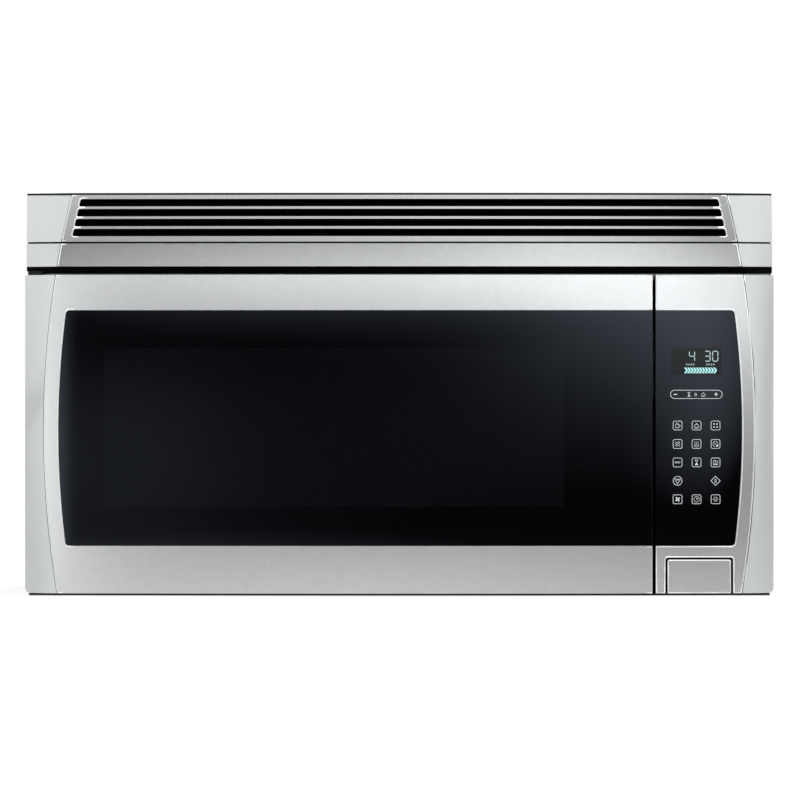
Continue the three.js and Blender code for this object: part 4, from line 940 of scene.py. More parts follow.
def hem_mesh(outline, depth):
    """A round bead along an outline: a circle carried round it, square to each stretch."""
    path = np.array(outline)
    along = np.roll(path, -1, axis=0) - np.roll(path, 1, axis=0)
    along /= np.linalg.norm(along, axis=1, keepdims=True)
    turn = np.linspace(0, 2 * math.pi, HEM_SIDES, endpoint=False)[None, :]
    out = HEM * np.cos(turn)
    x = path[:, :1] + out * along[:, 1:]
    z = path[:, 1:] - out * along[:, :1]
    y = depth(path[:, 0], path[:, 1])[:, None] + HEM_SINK + HEM * np.sin(turn)
    return np.stack([x, y, z], axis=-1).reshape(-1, 3), walls_between(len(path), HEM_SIDES, True)


def add_hem(name, outline, depth, body, material=HIGHLIGHT_EDGE_STEEL, slot="stainless"):
    """Lays a bead along an outline, at a depth that is a function of x and z."""
    hem = add_mesh(name, *hem_mesh(outline, depth), body, slot, material)
    outwards(hem.data)


print("beads of", round(2 * HEM / MM, 2), "mm")

# %% [markdown]
# ### The door, the panel and the band
# Each sheet is bent over the bow, hemmed round its rim and round every opening, and bevelled.
# The band's face looks up a little, which is why it mirrors a darker part of the room.

# %% Door, panel and band skins
BAND_LEAN = 0.05  # how far back the band's face goes for each unit of height
band_low, band_high = (float(corner[2]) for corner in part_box("trim_band_skin"))


def steel_sheet(name, outlines, node, body, depth=on_bow(), width=0.45 * MM):
    """A pressed skin that stands for a node of the frame, with its edges rolled over."""
    edges = [eased(outline) for outline in outlines]
    vertices, faces = sheet_mesh(edges, depth, SHEET)
    sheet = add_mesh(name, vertices, faces, body, "stainless", FINISHES["stainless"], (node,))
    for i, edge in enumerate(edges):
        inward = turning(edge) * (HEM if i == 0 else -HEM)
        add_hem(f"{name}_hem_{i}", moved_in(edge, inward), depth, body)
    return bevel(sheet, width, 3)


steel_sheet("door_sheet", [door_outline], "door_skin", "door")
steel_sheet("panel_sheet", [panel_outline], "control_panel_skin", "root")
band_outline = seam_line(-1, band_low, band_high)[::-1] + seam_line(1, band_low, band_high)
steel_sheet("band_sheet", [band_outline], "trim_band_skin", "root",
            lambda x, z: bow(x) + BAND_LEAN * (z - band_low))
print("skins from", door_outline[0], "to", panel_outline[0])

# %% [markdown]
# ### The grille
# The grille leans back towards its top. Its four slots have ends cut on the slant of the
# side arcs, ten millimetres inside them, with small round corners.

# %% Grille skin
SLOT_COUNT, SLOT_HEIGHT, SLOT_PITCH, SLOT_SILL = 4, 7.6 * MM, 10.1 * MM, 5.5 * MM
SLOT_MARGIN, SLOT_CORNER = 10 * MM, 2 * MM
GRILLE_LEAN = 9 * MM
CASE_SHEET = 1.7 * MM
grille_low, grille_high = (float(corner[2]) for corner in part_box("grille_skin"))
case_top = float(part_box("outer_case")[1][2])


def grille_lean(z):
    """How far the grille falls back at height z: in proportion to the height above its foot."""
    return GRILLE_LEAN * (z - grille_low) / (case_top - CASE_SHEET - grille_low)


def slot_outline(index):
    """A slot's four corners: its ends keep a margin from the side arcs at both heights."""
    low = grille_low + SLOT_SILL + index * SLOT_PITCH
    high = low + SLOT_HEIGHT
    near, far = float(seam(low)) - SLOT_MARGIN, float(seam(high)) - SLOT_MARGIN
    corners = [(-near, low), (near, low), (far, high), (-far, high)]
    return [corner + (SLOT_CORNER,) for corner in corners]


grille_outline = seam_line(-1, grille_low, grille_high)[::-1] + seam_line(1, grille_low, grille_high)
slot_outlines = [slot_outline(i) for i in range(SLOT_COUNT)]
steel_sheet("grille_sheet", [grille_outline] + slot_outlines, "grille_skin", "root",
            lambda x, z: bow(x) + grille_lean(z))
print(len(slot_outlines), "slots")

# %% [markdown]
# ### Slot ends and wing lips
# The slats behind the slots stop short of their ends, so a sheet of dead black closes each end: painted
# shade, standing in for the dark inside the grille. Where a right wing meets the steel, the moulding has a
# fine raised lip. It rises towards the viewer, away from the seam, so it mirrors the light on the left as
# one bright line; its paler steel makes that line partly a painted highlight.

# %% Slot ends and wing lips
BACK_FROM, BACK_OVER = 0.3225, 1 * MM  # from inside the slats' ends to just past the slots
BACK_GAP, BACK_SHEET = 0.05 * MM, 0.15 * MM
LIP_FROM, LIP_TO, LIP_DEPTH, LIP_SLOPE, LIP_SHEET = 0.4 * MM, 1.4 * MM, 1.2 * MM, 0.45, 0.3 * MM
# a dead black with no gloss that stands in for shade: painted shade
SHADE_BLACK = coated("shade_black", (0.0006, 0.0006, 0.0006), 0.9, 3000, 0.2, 0.2, Specular_IOR_Level=0.0)
back_low, back_high = slot_outlines[0][0][1] - BACK_OVER, slot_outlines[-1][2][1] + BACK_OVER
# sheets of it behind the slot ends, where the grille's inside is in shade
for side, hand in ((-1, "left"), (1, "right")):
    ends = [float(seam(z)) - SLOT_MARGIN + BACK_OVER for z in (back_low, back_high)]
    corners = [(BACK_FROM, back_low), (ends[0], back_low), (ends[1], back_high), (BACK_FROM, back_high)]
    vertices, faces = sheet_mesh([[(side * x, z) for x, z in corners]],
                                 lambda x, z: bow(x) + grille_lean(z) + SHEET + BACK_GAP, BACK_SHEET)
    add_mesh(f"slot_shade_backing_{hand}", vertices, faces, "root", "black_plastic", SHADE_BLACK)


def wing_lip(name, low, high, body, lean=lambda z: 0 * z):
    """A strip along the right seam; its depth falls by a slope for each step away from it."""
    z = np.linspace(low, high, ARC_STEPS)
    near, far = seam(z) + LIP_FROM, seam(z) + LIP_TO
    outline = list(zip(near, z)) + list(zip(far[::-1], z[::-1]))
    vertices, faces = sheet_mesh([outline], lambda x, z: (
        bow(x) + lean(z) + LIP_DEPTH - LIP_SLOPE * (x - seam(z) - LIP_FROM)), LIP_SHEET)
    # the painted lip wears the paler edge steel, which paints in part of its bright line
    return add_mesh(name, vertices, faces, body, "silver_paint", HIGHLIGHT_EDGE_STEEL)


wing_lip("panel_wing_lip", DOOR_BOTTOM, DOOR_TOP, "root")
wing_lip("band_wing_lip", band_low, band_high, "root")
wing_lip("grille_wing_lip", grille_low, grille_high, "root", grille_lean)
print("lips", round((LIP_TO - LIP_FROM) / MM, 2), "mm wide")

# %% [markdown]
# ### Louvres and the release button
# Behind the slots slanted slats turn the air and hide what lies behind. Each is the same
# slanted section drawn out across the oven, one pitch over the last. The release button
# keeps its frame node and gets the same rolled edge as the steel round it.

# %% Louvres and button edge
SLAT_COUNT, SLAT_PITCH, SLAT_THICK, SLAT_RUN, SLAT_RISE = 9, 4.4 * MM, 0.8 * MM, 5 * MM, 6 * MM
SLAT_HALF, SLAT_Y, SLAT_LOW = 0.3235, -0.1755, 0.3615
BUTTON_CORNER, BUTTON_SINK, BUTTON_ROUND = 2 * MM, 0.3 * MM, 0.4 * MM
SLAT_SECTION = np.array(
    [(0, 0), (SLAT_RUN, SLAT_RISE), (SLAT_RUN, SLAT_RISE + SLAT_THICK), (0, SLAT_THICK)])


def drawn_out(section, x0, x1):
    """A closed section in y and z, drawn out along x, with a face at both ends."""
    count = len(section)
    ends = [np.column_stack([np.full(count, x), section]) for x in (x0, x1)]
    k = np.arange(count)
    walls = np.stack([k, (k + 1) % count, (k + 1) % count + count, k + count], axis=-1)
    return np.vstack(ends), walls.tolist() + [list(range(count))[::-1], list(range(count, 2 * count))]


def slat(index):
    """The slanted section, one pitch higher for each slat, drawn out along x."""
    return drawn_out(SLAT_SECTION + [SLAT_Y, SLAT_LOW + index * SLAT_PITCH], -SLAT_HALF, SLAT_HALF)


slats = joined([slat(i) for i in range(SLAT_COUNT)])
louvres = add_mesh("louvre_slats", *slats, "root", "black_plastic", FINISHES["black_plastic"], smooth=False)
outwards(louvres.data)
button_outline = [(BUTTON_LEFT, DOOR_BOTTOM), (BUTTON_RIGHT, DOOR_BOTTOM),
                  (BUTTON_RIGHT, BUTTON_TOP, BUTTON_CORNER), (BUTTON_LEFT, BUTTON_TOP, BUTTON_CORNER)]
add_hem("button_hem", moved_in(eased(button_outline), HEM), on_bow(BUTTON_SINK), "release_button")
bevel(nodes["door_release_button"], BUTTON_ROUND)
print(SLAT_COUNT, "slats")

# %% [markdown]
# ### Glass
# The door's glass and the control panel's are flat patterns of four-millimetre glass on the
# same bow, a little behind the steel. Their edges are ground, so they take a fine bevel.

# %% Glass panes
FIT, GLASS_ROUND = 0.3 * MM, 0.35 * MM


def pane(name, side, reach, end, node, body):
    """A pane between an arc end and a straight one, smaller than its opening by the fit."""
    outline = window_arc(side, reach, FIT)
    outline += [(end, WINDOW_HIGH - FIT), (end, WINDOW_LOW + FIT)]
    vertices, faces = sheet_mesh([eased(outline)], on_bow(GLASS_RECESS), GLASS)
    piece = add_mesh(name, vertices, faces, body, "black_glass", FINISHES["black_glass"], (node,))
    return bevel(piece, GLASS_ROUND, 2)


pane("door_pane", -1, WINDOW_REACH_LEFT, DOOR_RIGHT, "door_glass", "door")
pane("panel_pane", 1, WINDOW_REACH_RIGHT, PANEL_LEFT, "control_panel_glass", "root")
print("glass", round(GLASS / MM, 1), "mm thick")

# %% [markdown]
# ## Printing
# The marks on glass are screen printed from behind. Each is a closed sliver of ink, four
# hundredths of a millimetre thick, just proud of the pane. A line is widened to a ribbon, a
# filled shape is one face, and a whole set of marks becomes one mesh that follows the bow.

# %% Ribbons and shapes
INK = 0.04 * MM
INK_GREY = coated("ink_grey", (0.82, 0.85, 0.87), 0.5, 3000, 0.05, 0.05)
LIT_BASE = (0.05, 0.08, 0.08)


def ribbon(points, width, closed=False):
    """A line of a given width: each point is doubled, half a width to either side of the path."""
    path = np.asarray(points, float)
    side = mitres(path, closed) * width / 2
    count = len(path)
    i = np.arange(count if closed else count - 1)
    j = (i + 1) % count
    return np.vstack([path + side, path - side]), np.stack([i, j, j + count, i + count], axis=1).tolist()


def filled(points):
    """A shape with one face."""
    return np.asarray(points, float), [list(range(len(points)))]


def circle(x, z, radius, start=0, end=360, steps=20):
    """Points round a circle, or part of one, from an angle to another in degrees."""
    turn = np.radians(np.linspace(start, end, steps, endpoint=end - start < 360))
    return np.stack([x + radius * np.cos(turn), z + radius * np.sin(turn)], axis=1)


def rounded(x, z, half_width, half_height, radius):
    """A rectangle with round corners: four quarter circles, anticlockwise."""
    wide, high = half_width - radius, half_height - radius
    centres = [(wide, high, 0), (-wide, high, 90), (-wide, -high, 180), (wide, -high, 270)]
    return np.vstack([circle(x + cx, z + cz, radius, a, a + 90, 6) for cx, cz, a in centres])


def print_marks(name, shapes, body, material, slot, lift=INK):
    """Joins shapes, given in millimetres, into one sliver of ink on the pane."""
    flat, faces = joined(shapes)
    vertices, faces = thickened(flat * MM, faces, on_bow(GLASS_RECESS - lift), INK)
    return add_mesh(name, vertices, faces, body, slot, material, smooth=False)


def lit_ink(name, colour, strength):
    """Ink that glows: the lit segments of the display."""
    material = coated(name, LIT_BASE, 0.4, 3000, 0.05, 0.05)
    shader = material.node_tree.nodes["Principled BSDF"]
    shader.inputs["Emission Color"].default_value = (*colour, 1)
    shader.inputs["Emission Strength"].default_value = strength
    return material


print("a round key has", len(rounded(0, 0, 5, 5, 2)), "points")

# %% [markdown]
# ### Pictograms
# Every key carries a small plain picture: a cup, a dish cover, a clock, a lamp. They are drawn
# in millimetres round the middle of their key, as lists of lines and filled shapes.

# %% Strokes
ICON_LINE, ICON_SCALE = 0.46, 0.9


def stroke(*points, closed=False, width=ICON_LINE):
    """A line from point to point."""
    return ribbon(points, width, closed)


def round_stroke(x, z, radius, width=ICON_LINE, steps=20):
    """A line round a circle."""
    return ribbon(circle(x, z, radius, steps=steps), width, True)


def arc_stroke(x, z, radius, start, end, width=ICON_LINE):
    """A line along part of a circle."""
    return ribbon(circle(x, z, radius, start, end, 12), width)


def wavy_stroke(z, reach, rise, turns=1.5):
    """A line that follows a sine, with so many half turns to either side of the middle."""
    x = np.linspace(-reach, reach, 16)
    return ribbon(np.stack([x, z + rise * np.sin(turns * math.pi * x / reach)], axis=1), ICON_LINE)


print("strokes", ICON_LINE, "mm wide")

# %% [markdown]
# ### The pictures
# Each function returns the shapes of one picture: the first draws a cup with two threads of
# steam over it, the second the bell-shaped cover of a dish on two plates, and so on.

# %% Pictograms


def draw_cup():
    steam = [stroke((x, 2.4), (x, 3.3)) for x in (-1.3, 0.4)]
    cup = stroke((-2.4, 1.6), (-2.0, -2.6), (1.0, -2.6), (1.4, 1.6), closed=True)
    return [cup, arc_stroke(1.5, -0.4, 1.4, -80, 80)] + steam


def draw_cloche():
    plates = [stroke((-half, z), (half, z)) for half, z in ((3.2, -1.9), (2.2, -3.1))]
    return [arc_stroke(0, -1.2, 2.7, 0, 180)] + plates + [filled(circle(0, 2.2, 0.6, steps=10))]


def draw_dots():
    return [filled(circle(x, z, 0.85, steps=12)) for x in (-1.7, 1.7) for z in (-1.7, 1.7)]


def draw_steam():
    return [wavy_stroke(z, 2.8, 0.55) for z in (-1.9, 0, 1.9)]


def draw_hot_dish():
    return [stroke((x, 0.2), (x, 2.6)) for x in (-1.8, 0, 1.8)] + [
        stroke((-3.0, -1.2), (3.0, -1.2)), arc_stroke(0, -0.9, 2.5, 200, 340)]


def draw_wedge():
    return [arc_stroke(0, 0, 2.9, 10, 260), filled([(0.6, -3.0), (3.0, -3.0), (3.0, -0.4), (1.2, -1.0)]),
            stroke((-1.4, 0), (1.4, 0))]


def draw_zigzag():
    return [stroke((-3.1, -1.0), (-1.9, 1.1), (-0.6, -1.0), (0.7, 1.1), (1.9, -1.0), (3.1, 1.1))]


def draw_hourglass():
    return [stroke((-1.7, 2.8), (1.7, 2.8), (-1.7, -2.8), (1.7, -2.8), closed=True),
            filled([(-1.2, -2.5), (1.2, -2.5), (0, -0.9)])]


def draw_plate_stack():
    return [arc_stroke(-1.2, 1.2, 1.3, 0, 300), arc_stroke(1.4, 0.6, 1.3, -60, 240),
            stroke((-3.1, -1.6), (3.1, -1.6)),
            filled([(-2.2, -2.9), (2.2, -2.9), (2.8, -2.2), (-2.8, -2.2)])]


def draw_triangle():
    return [stroke((-3.2, 1.9), (3.2, 1.9), (0, -3.6), closed=True), stroke((-1.6, 1.0), (1.6, 1.0))]


def draw_bar():
    return [ribbon(rounded(0, 0, 0.7, 2.1, 0.6), 0.45, True)]


def draw_fan():
    """Four blades, each a leaf between two arcs."""
    leaf = np.vstack([circle(1.5, 0.55, 1.55, 200, 20, 8), [(0.3, 0.1)]])
    angles = np.radians([0, 90, 180, 270])
    turns = [np.array([[math.cos(a), math.sin(a)], [-math.sin(a), math.cos(a)]]) for a in angles]
    return [filled(leaf @ turn) for turn in turns]


def draw_clock():
    return [round_stroke(0, 0, 3.0), stroke((0, 2.0), (0, 0), (1.5, 0.9))]


def draw_lamp():
    rays = [np.array([math.cos(a), math.sin(a)]) for a in np.radians(np.arange(0, 360, 60))]
    return [round_stroke(0, 0, 1.7)] + [stroke(ray * 2.5, ray * 3.4) for ray in rays]


def draw_lock():
    body = stroke((-1.3, -1.8), (1.3, -1.8), (1.3, 0.5), (-1.3, 0.5), closed=True)
    return [body, arc_stroke(0, 0.6, 0.9, 0, 180)]


print("a fan has", len(draw_fan()), "blades")

# %% [markdown]
# ### Keys
# The keys stand in a grid of three columns and five rows under the display. In the fourth row
# a circle stops the oven, a diamond starts it, and the middle place stays empty.

# %% Keys
KEY_PITCH = (19.25, 18.65)
FIRST_KEY = (281.35, 172.0)
KEY_HALF, KEY_ROUND, KEY_LINE = 4.5, 1.6, 0.5
KEYS = [
    [draw_cup, draw_cloche, draw_dots],
    [draw_steam, draw_hot_dish, draw_wedge],
    [draw_zigzag, draw_hourglass, draw_plate_stack],
    [draw_triangle, None, draw_bar],
    [draw_fan, draw_clock, draw_lamp],
]
STOP_SIDES, START_REACH = 28, 4.7  # the round key's corners, and the reach of the diamond


def placed(shapes, x, z, scale=1.0):
    """Shapes scaled about their own middle and moved to a place."""
    return [(points * scale + [x, z], faces) for points, faces in shapes]


def key_frame(drawing, x, z):
    """The line round a key: a circle to stop, a diamond to start, else a rounded square."""
    if drawing is draw_triangle:
        return round_stroke(x, z, KEY_HALF, KEY_LINE, STOP_SIDES)
    if drawing is draw_bar:
        points = [(x - START_REACH, z), (x, z - START_REACH), (x + START_REACH, z), (x, z + START_REACH)]
        return ribbon(points, KEY_LINE, True)
    return ribbon(rounded(x, z, KEY_HALF, KEY_HALF, KEY_ROUND), KEY_LINE, True)


marks = []
for row, drawings in enumerate(KEYS):
    for column, drawing in enumerate(drawings):
        x, z = FIRST_KEY[0] + column * KEY_PITCH[0], FIRST_KEY[1] - row * KEY_PITCH[1]
        if drawing:
            marks.append(key_frame(drawing, x, z))
            marks += placed(drawing(), x, z, ICON_SCALE)
print(len(marks), "shapes on the keys")

# %% [markdown]
# ### More and less
# Over the keys a long pill stands for less and more: a minus at its left end, a plus at its
# right end and three small pictures between them. All the marks become one mesh.

# %% Pill
(PILL_X, PILL_Z), PILL_HALF = (300.4, 203.5), (26.2, 4.2)
PILL_ICONS, PILL_ICON_SCALE = {-7.5: draw_hourglass, -0.7: draw_lock, 7.2: draw_cloche}, 0.72
SIGN_LINE, MINUS_FROM, MINUS_TO, PLUS_AT, PLUS_REACH = 0.9, -23, -19.6, 20, 1.8
marks.append(ribbon(rounded(PILL_X, PILL_Z, *PILL_HALF, PILL_HALF[1] - 0.1), KEY_LINE, True))
for offset, drawing in PILL_ICONS.items():
    marks += placed(drawing(), PILL_X + offset, PILL_Z, PILL_ICON_SCALE)
marks.append(stroke((PILL_X + MINUS_FROM, PILL_Z), (PILL_X + MINUS_TO, PILL_Z), width=SIGN_LINE))
for across, up in ((PLUS_REACH, 0), (0, PLUS_REACH)):
    x = PILL_X + PLUS_AT
    marks.append(stroke((x - across, PILL_Z - up), (x + across, PILL_Z + up), width=SIGN_LINE))
key_print = print_marks("key_print", marks, "root", INK_GREY, "white_plastic")
print("key print:", len(marks), "shapes,", len(key_print.data.polygons), "faces")

# %% [markdown]
# ### Display
# Behind a dark window a vacuum fluorescent display shows a time in seven-segment digits over
# a bar of chevrons. A digit is drawn from the names of its lit segments.

# %% Display
DISPLAY_MIDDLE, DISPLAY_HALF = (300.2, 236.9), (25.6, 13.8)
DIGIT_LOW, DIGIT_WIDTH, DIGIT_HEIGHT, DIGIT_LINE = 237.1, 5.3, 10.0, 0.85
DIGITS = {293.3: "4", 309.0: "3", 316.9: "0"}  # left edge of each: its figure
SEGMENTS = {"0": "abcdef", "3": "abcdg", "4": "bcfg"}
CHEVRON_LEFT, CHEVRON_MIDDLE, CHEVRON_COUNT, CHEVRON_PITCH = 288.0, 227.7, 11, 2.95
CHEVRON_HALF, CHEVRON_POINT, CHEVRON_GAP = 2.9, 2.0, 1.1
TICK_STARTS, TICK_COUNT, TICK_PITCH = (290, 310.5), 4, 2.3
TICK_LOW, TICK_HIGH, TICK_SLANT, TICK_LINE = 232.9, 234.6, 1.3, 0.7
BAR_GAP = 0.6  # how far a bar stops short of its corner, in its own widths
DISPLAY_CORNER = 1.0


def digit(figure, left):
    """Bars between the corners of two stacked squares, each a little short of its ends."""
    right, low, middle, top = left + DIGIT_WIDTH, 0, DIGIT_HEIGHT / 2, DIGIT_HEIGHT
    ends = {"a": ((left, top), (right, top)), "b": ((right, middle), (right, top)),
            "c": ((right, low), (right, middle)), "d": ((left, low), (right, low)),
            "e": ((left, low), (left, middle)), "f": ((left, middle), (left, top)),
            "g": ((left, middle), (right, middle))}
    bars = []
    for letter in SEGMENTS[figure]:
        start, end = (np.array(point) + [0, DIGIT_LOW] for point in ends[letter])
        gap = (end - start) / np.linalg.norm(end - start) * DIGIT_LINE * BAR_GAP
        bars.append(ribbon([start + gap, end - gap], DIGIT_LINE))
    return bars


def chevron(left):
    """An arrow-headed bar: both ends point right by the same amount."""
    right, z = left + CHEVRON_PITCH - CHEVRON_GAP, CHEVRON_MIDDLE
    return filled([(left, z - CHEVRON_HALF), (right, z - CHEVRON_HALF), (right + CHEVRON_POINT, z),
                   (right, z + CHEVRON_HALF), (left, z + CHEVRON_HALF), (left + CHEVRON_POINT, z)])


def tick(x):
    """A short slanting line; four of them stand under each number."""
    return stroke((x, TICK_LOW), (x + TICK_SLANT, TICK_HIGH), width=TICK_LINE)


(left, right), (foot, head) = (
    (middle - half, middle + half) for middle, half in zip(DISPLAY_MIDDLE, DISPLAY_HALF))
display_outline = rectangle(left * MM, right * MM, foot * MM, head * MM, DISPLAY_CORNER * MM)
vertices, faces = sheet_mesh([display_outline], on_bow(GLASS_RECESS - INK), INK)
WINDOW_TINT = coated("window_tint", (0.0012, 0.004, 0.004), 0.12, 500, 0.1, 0.0, 0.01,
                     Specular_IOR_Level=0.3)
add_mesh("display_window", vertices, faces, "root", "black_glass", WINDOW_TINT, smooth=False)
figures = [bar for left, figure in DIGITS.items() for bar in digit(figure, left)]
ticks = [tick(start + TICK_PITCH * i) for start in TICK_STARTS for i in range(TICK_COUNT)]
arrows = [chevron(CHEVRON_LEFT + i * CHEVRON_PITCH) for i in range(CHEVRON_COUNT)]
LIT_GREY = lit_ink("lit_grey", (0.50, 0.68, 0.70), 0.9)
LIT_CYAN = lit_ink("lit_cyan", (0.45, 0.90, 0.92), 1.0)
print_marks("display_digits", figures + ticks, "root", LIT_GREY, "white_plastic", 2 * INK)
print_marks("display_arrows", arrows, "root", LIT_CYAN, "white_plastic", 2 * INK)
print(len(figures), "bars lit,", len(arrows), "chevrons")

# %% [markdown]
# ## The back
# The oven hangs on a plate that is screwed to the wall. On the real one it is a stamping with
# holes for every stud and for the hooks. It is drawn as outlines and cut from sheet like the
# front, only flat. The panel behind it has slots through which the cooling fan draws its air.

# %% Wall plate
FLAT = 1.0  # strips wider than any sheet, which leave a flat one whole
PLATE_SHEET, PLATE_CORNER, PLATE_WINDOW_CORNER = 1.6 * MM, 8 * MM, 6 * MM
PLATE_WINDOWS = ((-0.310, -0.050), (0.050, 0.310))
PLATE_SILL, PLATE_LINTEL = 0.110, 0.290
PLATE_SLOTS = (0.024, 0.384), np.arange(-0.340, 0.341, 0.04)  # heights and places across
PLATE_ROWS = (0.040, 0.368), np.arange(-0.350, 0.351, 0.02)
PLATE_COLUMNS = (-0.340, 0.340, -0.018, 0.018), np.arange(0.120, 0.281, 0.02)  # across, heights
SLOT_RADIUS, SLOT_HALF, STUD_RADIUS, STUD_SIDES = 3.2 * MM, 6 * MM, 2.4 * MM, 8
plate_low, plate_high = both_corners(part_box("wall_mounting_plate"))


def flat_at(y):
    """The same depth everywhere."""
    return lambda x, z: 0 * x + y


def hole(x, z, radius, half_length=0.0, steps=12):
    """A round hole, or a slot with round ends: a circle whose halves are moved apart in x."""
    turn = np.linspace(0, 2 * math.pi, steps, endpoint=False) + math.pi / steps
    across = x + radius * np.cos(turn) + np.copysign(half_length, np.cos(turn))
    return list(zip(across, z + radius * np.sin(turn)))


plate_cuts = [rectangle(x0, x1, PLATE_SILL, PLATE_LINTEL, PLATE_WINDOW_CORNER) for x0, x1 in PLATE_WINDOWS]
plate_cuts += [hole(x, z, SLOT_RADIUS, SLOT_HALF) for z in PLATE_SLOTS[0] for x in PLATE_SLOTS[1]]
studs = [(x, z) for z in PLATE_ROWS[0] for x in PLATE_ROWS[1]]
studs += [(x, z) for x in PLATE_COLUMNS[0] for z in PLATE_COLUMNS[1]]
plate_cuts += [hole(x, z, STUD_RADIUS, steps=STUD_SIDES) for x, z in studs]
plate_outline = rectangle(plate_low[0], plate_high[0], plate_low[2], plate_high[2], PLATE_CORNER)
plate_face = flat_at(plate_high[1] - PLATE_SHEET)
plate_mesh = sheet_mesh([plate_outline] + plate_cuts, plate_face, PLATE_SHEET, FLAT)
add_mesh("wall_plate", *plate_mesh, "root", "zinc_steel", FINISHES["zinc_steel"],
         ("wall_mounting_plate",), smooth=False)
print("wall plate with", len(plate_cuts), "cuts")

# %% [markdown]
# ### Rear panel and its spacers
# The panel is duller galvanised sheet, with slots for the air and a sheet of the dead black behind
# them, painted shade for the dark inside the case.
# Six square spacers keep the wall plate off it, and a pressed bead stiffens it inside each
# window of the plate.

# %% Rear panel
PANEL_ZINC = coated("dull_zinc", (0.30, 0.31, 0.32), 0.45, 160, 0.18, 0.05, Metallic=0.85)
SPACER_HALF, SPACER_X, SPACER_Z = 20 * MM, 0.300, (0.060, 0.340)
SPACER_GAP, SPACER_ROUND = 0.3 * MM, 0.4 * MM
BEAD_INSET, BEAD_CORNER, BEAD_SINK = 18 * MM, 12 * MM, 0.4 * MM
AIR_X, AIR_HALF, AIR_RADIUS, AIR_HEIGHTS = 0.272, 18 * MM, 2.2 * MM, np.arange(0.135, 0.246, 0.010)
SCREEN_OVER, SCREEN_FOOT, SCREEN_HEAD = 6 * MM, 0.128, 0.252
SCREEN_AWAY, SCREEN_SHEET = 0.22 * MM, 0.14 * MM
PANEL_CORNER = 2 * MM
rear_low, rear_high = both_corners(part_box("rear_panel"))


def block(low, high):
    """The eight corners and six faces of a box between two corners."""
    (x0, y0, z0), (x1, y1, z1) = low, high
    points = [(x, y, z) for z in (z0, z1) for x, y in ((x0, y0), (x1, y0), (x1, y1), (x0, y1))]
    faces = [(3, 2, 1, 0), (4, 5, 6, 7)] + [(k, (k + 1) % 4, (k + 1) % 4 + 4, k + 4) for k in range(4)]
    return np.array(points), np.array(faces)


air_slots = [hole(AIR_X, z, AIR_RADIUS, AIR_HALF) for z in AIR_HEIGHTS]
rear_outline = rectangle(rear_low[0], rear_high[0], rear_low[2], rear_high[2], PANEL_CORNER)
rear_mesh = sheet_mesh([rear_outline] + air_slots, flat_at(rear_low[1]), rear_high[1] - rear_low[1], FLAT)
add_mesh("rear_sheet", *rear_mesh, "root", "zinc_steel", PANEL_ZINC, ("rear_panel",), smooth=False)
# the black screen behind the air slots is painted shade
screen_half = AIR_HALF + SCREEN_OVER
screen_outline = rectangle(AIR_X - screen_half, AIR_X + screen_half, SCREEN_FOOT, SCREEN_HEAD,
                           PANEL_CORNER)
screen_mesh = sheet_mesh([screen_outline], flat_at(rear_low[1] - SCREEN_AWAY), SCREEN_SHEET, FLAT)
add_mesh("air_screen", *screen_mesh, "root", "black_plastic", SHADE_BLACK, smooth=False)
spacers = [block((x - SPACER_HALF, rear_high[1] + SPACER_GAP, z - SPACER_HALF),
                 (x + SPACER_HALF, plate_high[1] - PLATE_SHEET, z + SPACER_HALF))
           for x in (-SPACER_X, 0, SPACER_X) for z in SPACER_Z]
spacer_set = add_mesh("plate_spacers", *joined(spacers), "root", "zinc_steel", PANEL_ZINC, smooth=False)
bevel(spacer_set, SPACER_ROUND)
bead_depth = flat_at(rear_high[1] - HEM_SINK - BEAD_SINK)
for i, (x0, x1) in enumerate(PLATE_WINDOWS):
    bead = rectangle(x0 + BEAD_INSET, x1 - BEAD_INSET, PLATE_SILL + BEAD_INSET, PLATE_LINTEL - BEAD_INSET,
                     BEAD_CORNER)
    add_hem(f"rear_bead_{i}", bead, bead_depth, "root", PANEL_ZINC, "zinc_steel")
print(len(air_slots), "air slots,", len(spacers), "spacers")

# %% [markdown]
# ## Screws
# The case is held by hexagon-headed screws with a fixed washer. One profile is carried round
# an axis; the rings of the hexagon swell by the formula cos 30 / cos(t - 30) between flats.
# The screws of one panel are one mesh, each turned so that its axis meets the panel squarely.

# %% Screws
SCREW = np.array([(4.2, 0, 0), (4.2, 0.7, 0), (2.9, 0.9, 0), (3.2, 1.0, 1), (3.2, 2.5, 1), (2.8, 2.8, 1)])
SCREW_SIDES, LOW_HEAD = 24, 0.3  # the screws of the base are lower by this factor
SIDE_HEIGHTS, FOOT_DEPTHS, FOOT_HEIGHT = (0.030, 0.200, 0.380), (-0.120, 0.040), 0.012
TOP_ACROSS, FRONT_ACROSS, FRONT_DEPTH = (-0.340, -0.170, 0.0, 0.170, 0.340), (-0.310, 0.310), -0.070
BORDER_ACROSS, BORDER_DEPTHS = (-0.345, 0.345), (-0.140, 0.020, 0.170)
MIDDLE_ACROSS, MIDDLE_DEPTHS = (-0.057, 0.057), (-0.030, 0.070)


def turned(profile, sides, hexes=None, closed=False):
    """A profile of (radius, height) carried round Z; hexes says how far each ring is a hexagon.
    A closed profile makes a ring, and an open one a solid with a flat cap at either end."""
    turn = np.linspace(0, 2 * math.pi, sides, endpoint=False)
    swell = math.cos(math.pi / 6) / np.cos(np.mod(turn, math.pi / 3) - math.pi / 6) - 1
    share = np.zeros(len(profile)) if hexes is None else hexes
    radius = profile[:, :1] * (1 + share[:, None] * swell)
    height = np.repeat(profile[:, 1:2], sides, axis=1)
    points = np.stack([radius * np.cos(turn), radius * np.sin(turn), height], axis=-1)
    top = (len(profile) - 1) * sides
    caps = [] if closed else [list(range(sides))[::-1], list(range(top, top + sides))]
    return points.reshape(-1, 3), walls_between(len(profile), sides, closed) + caps


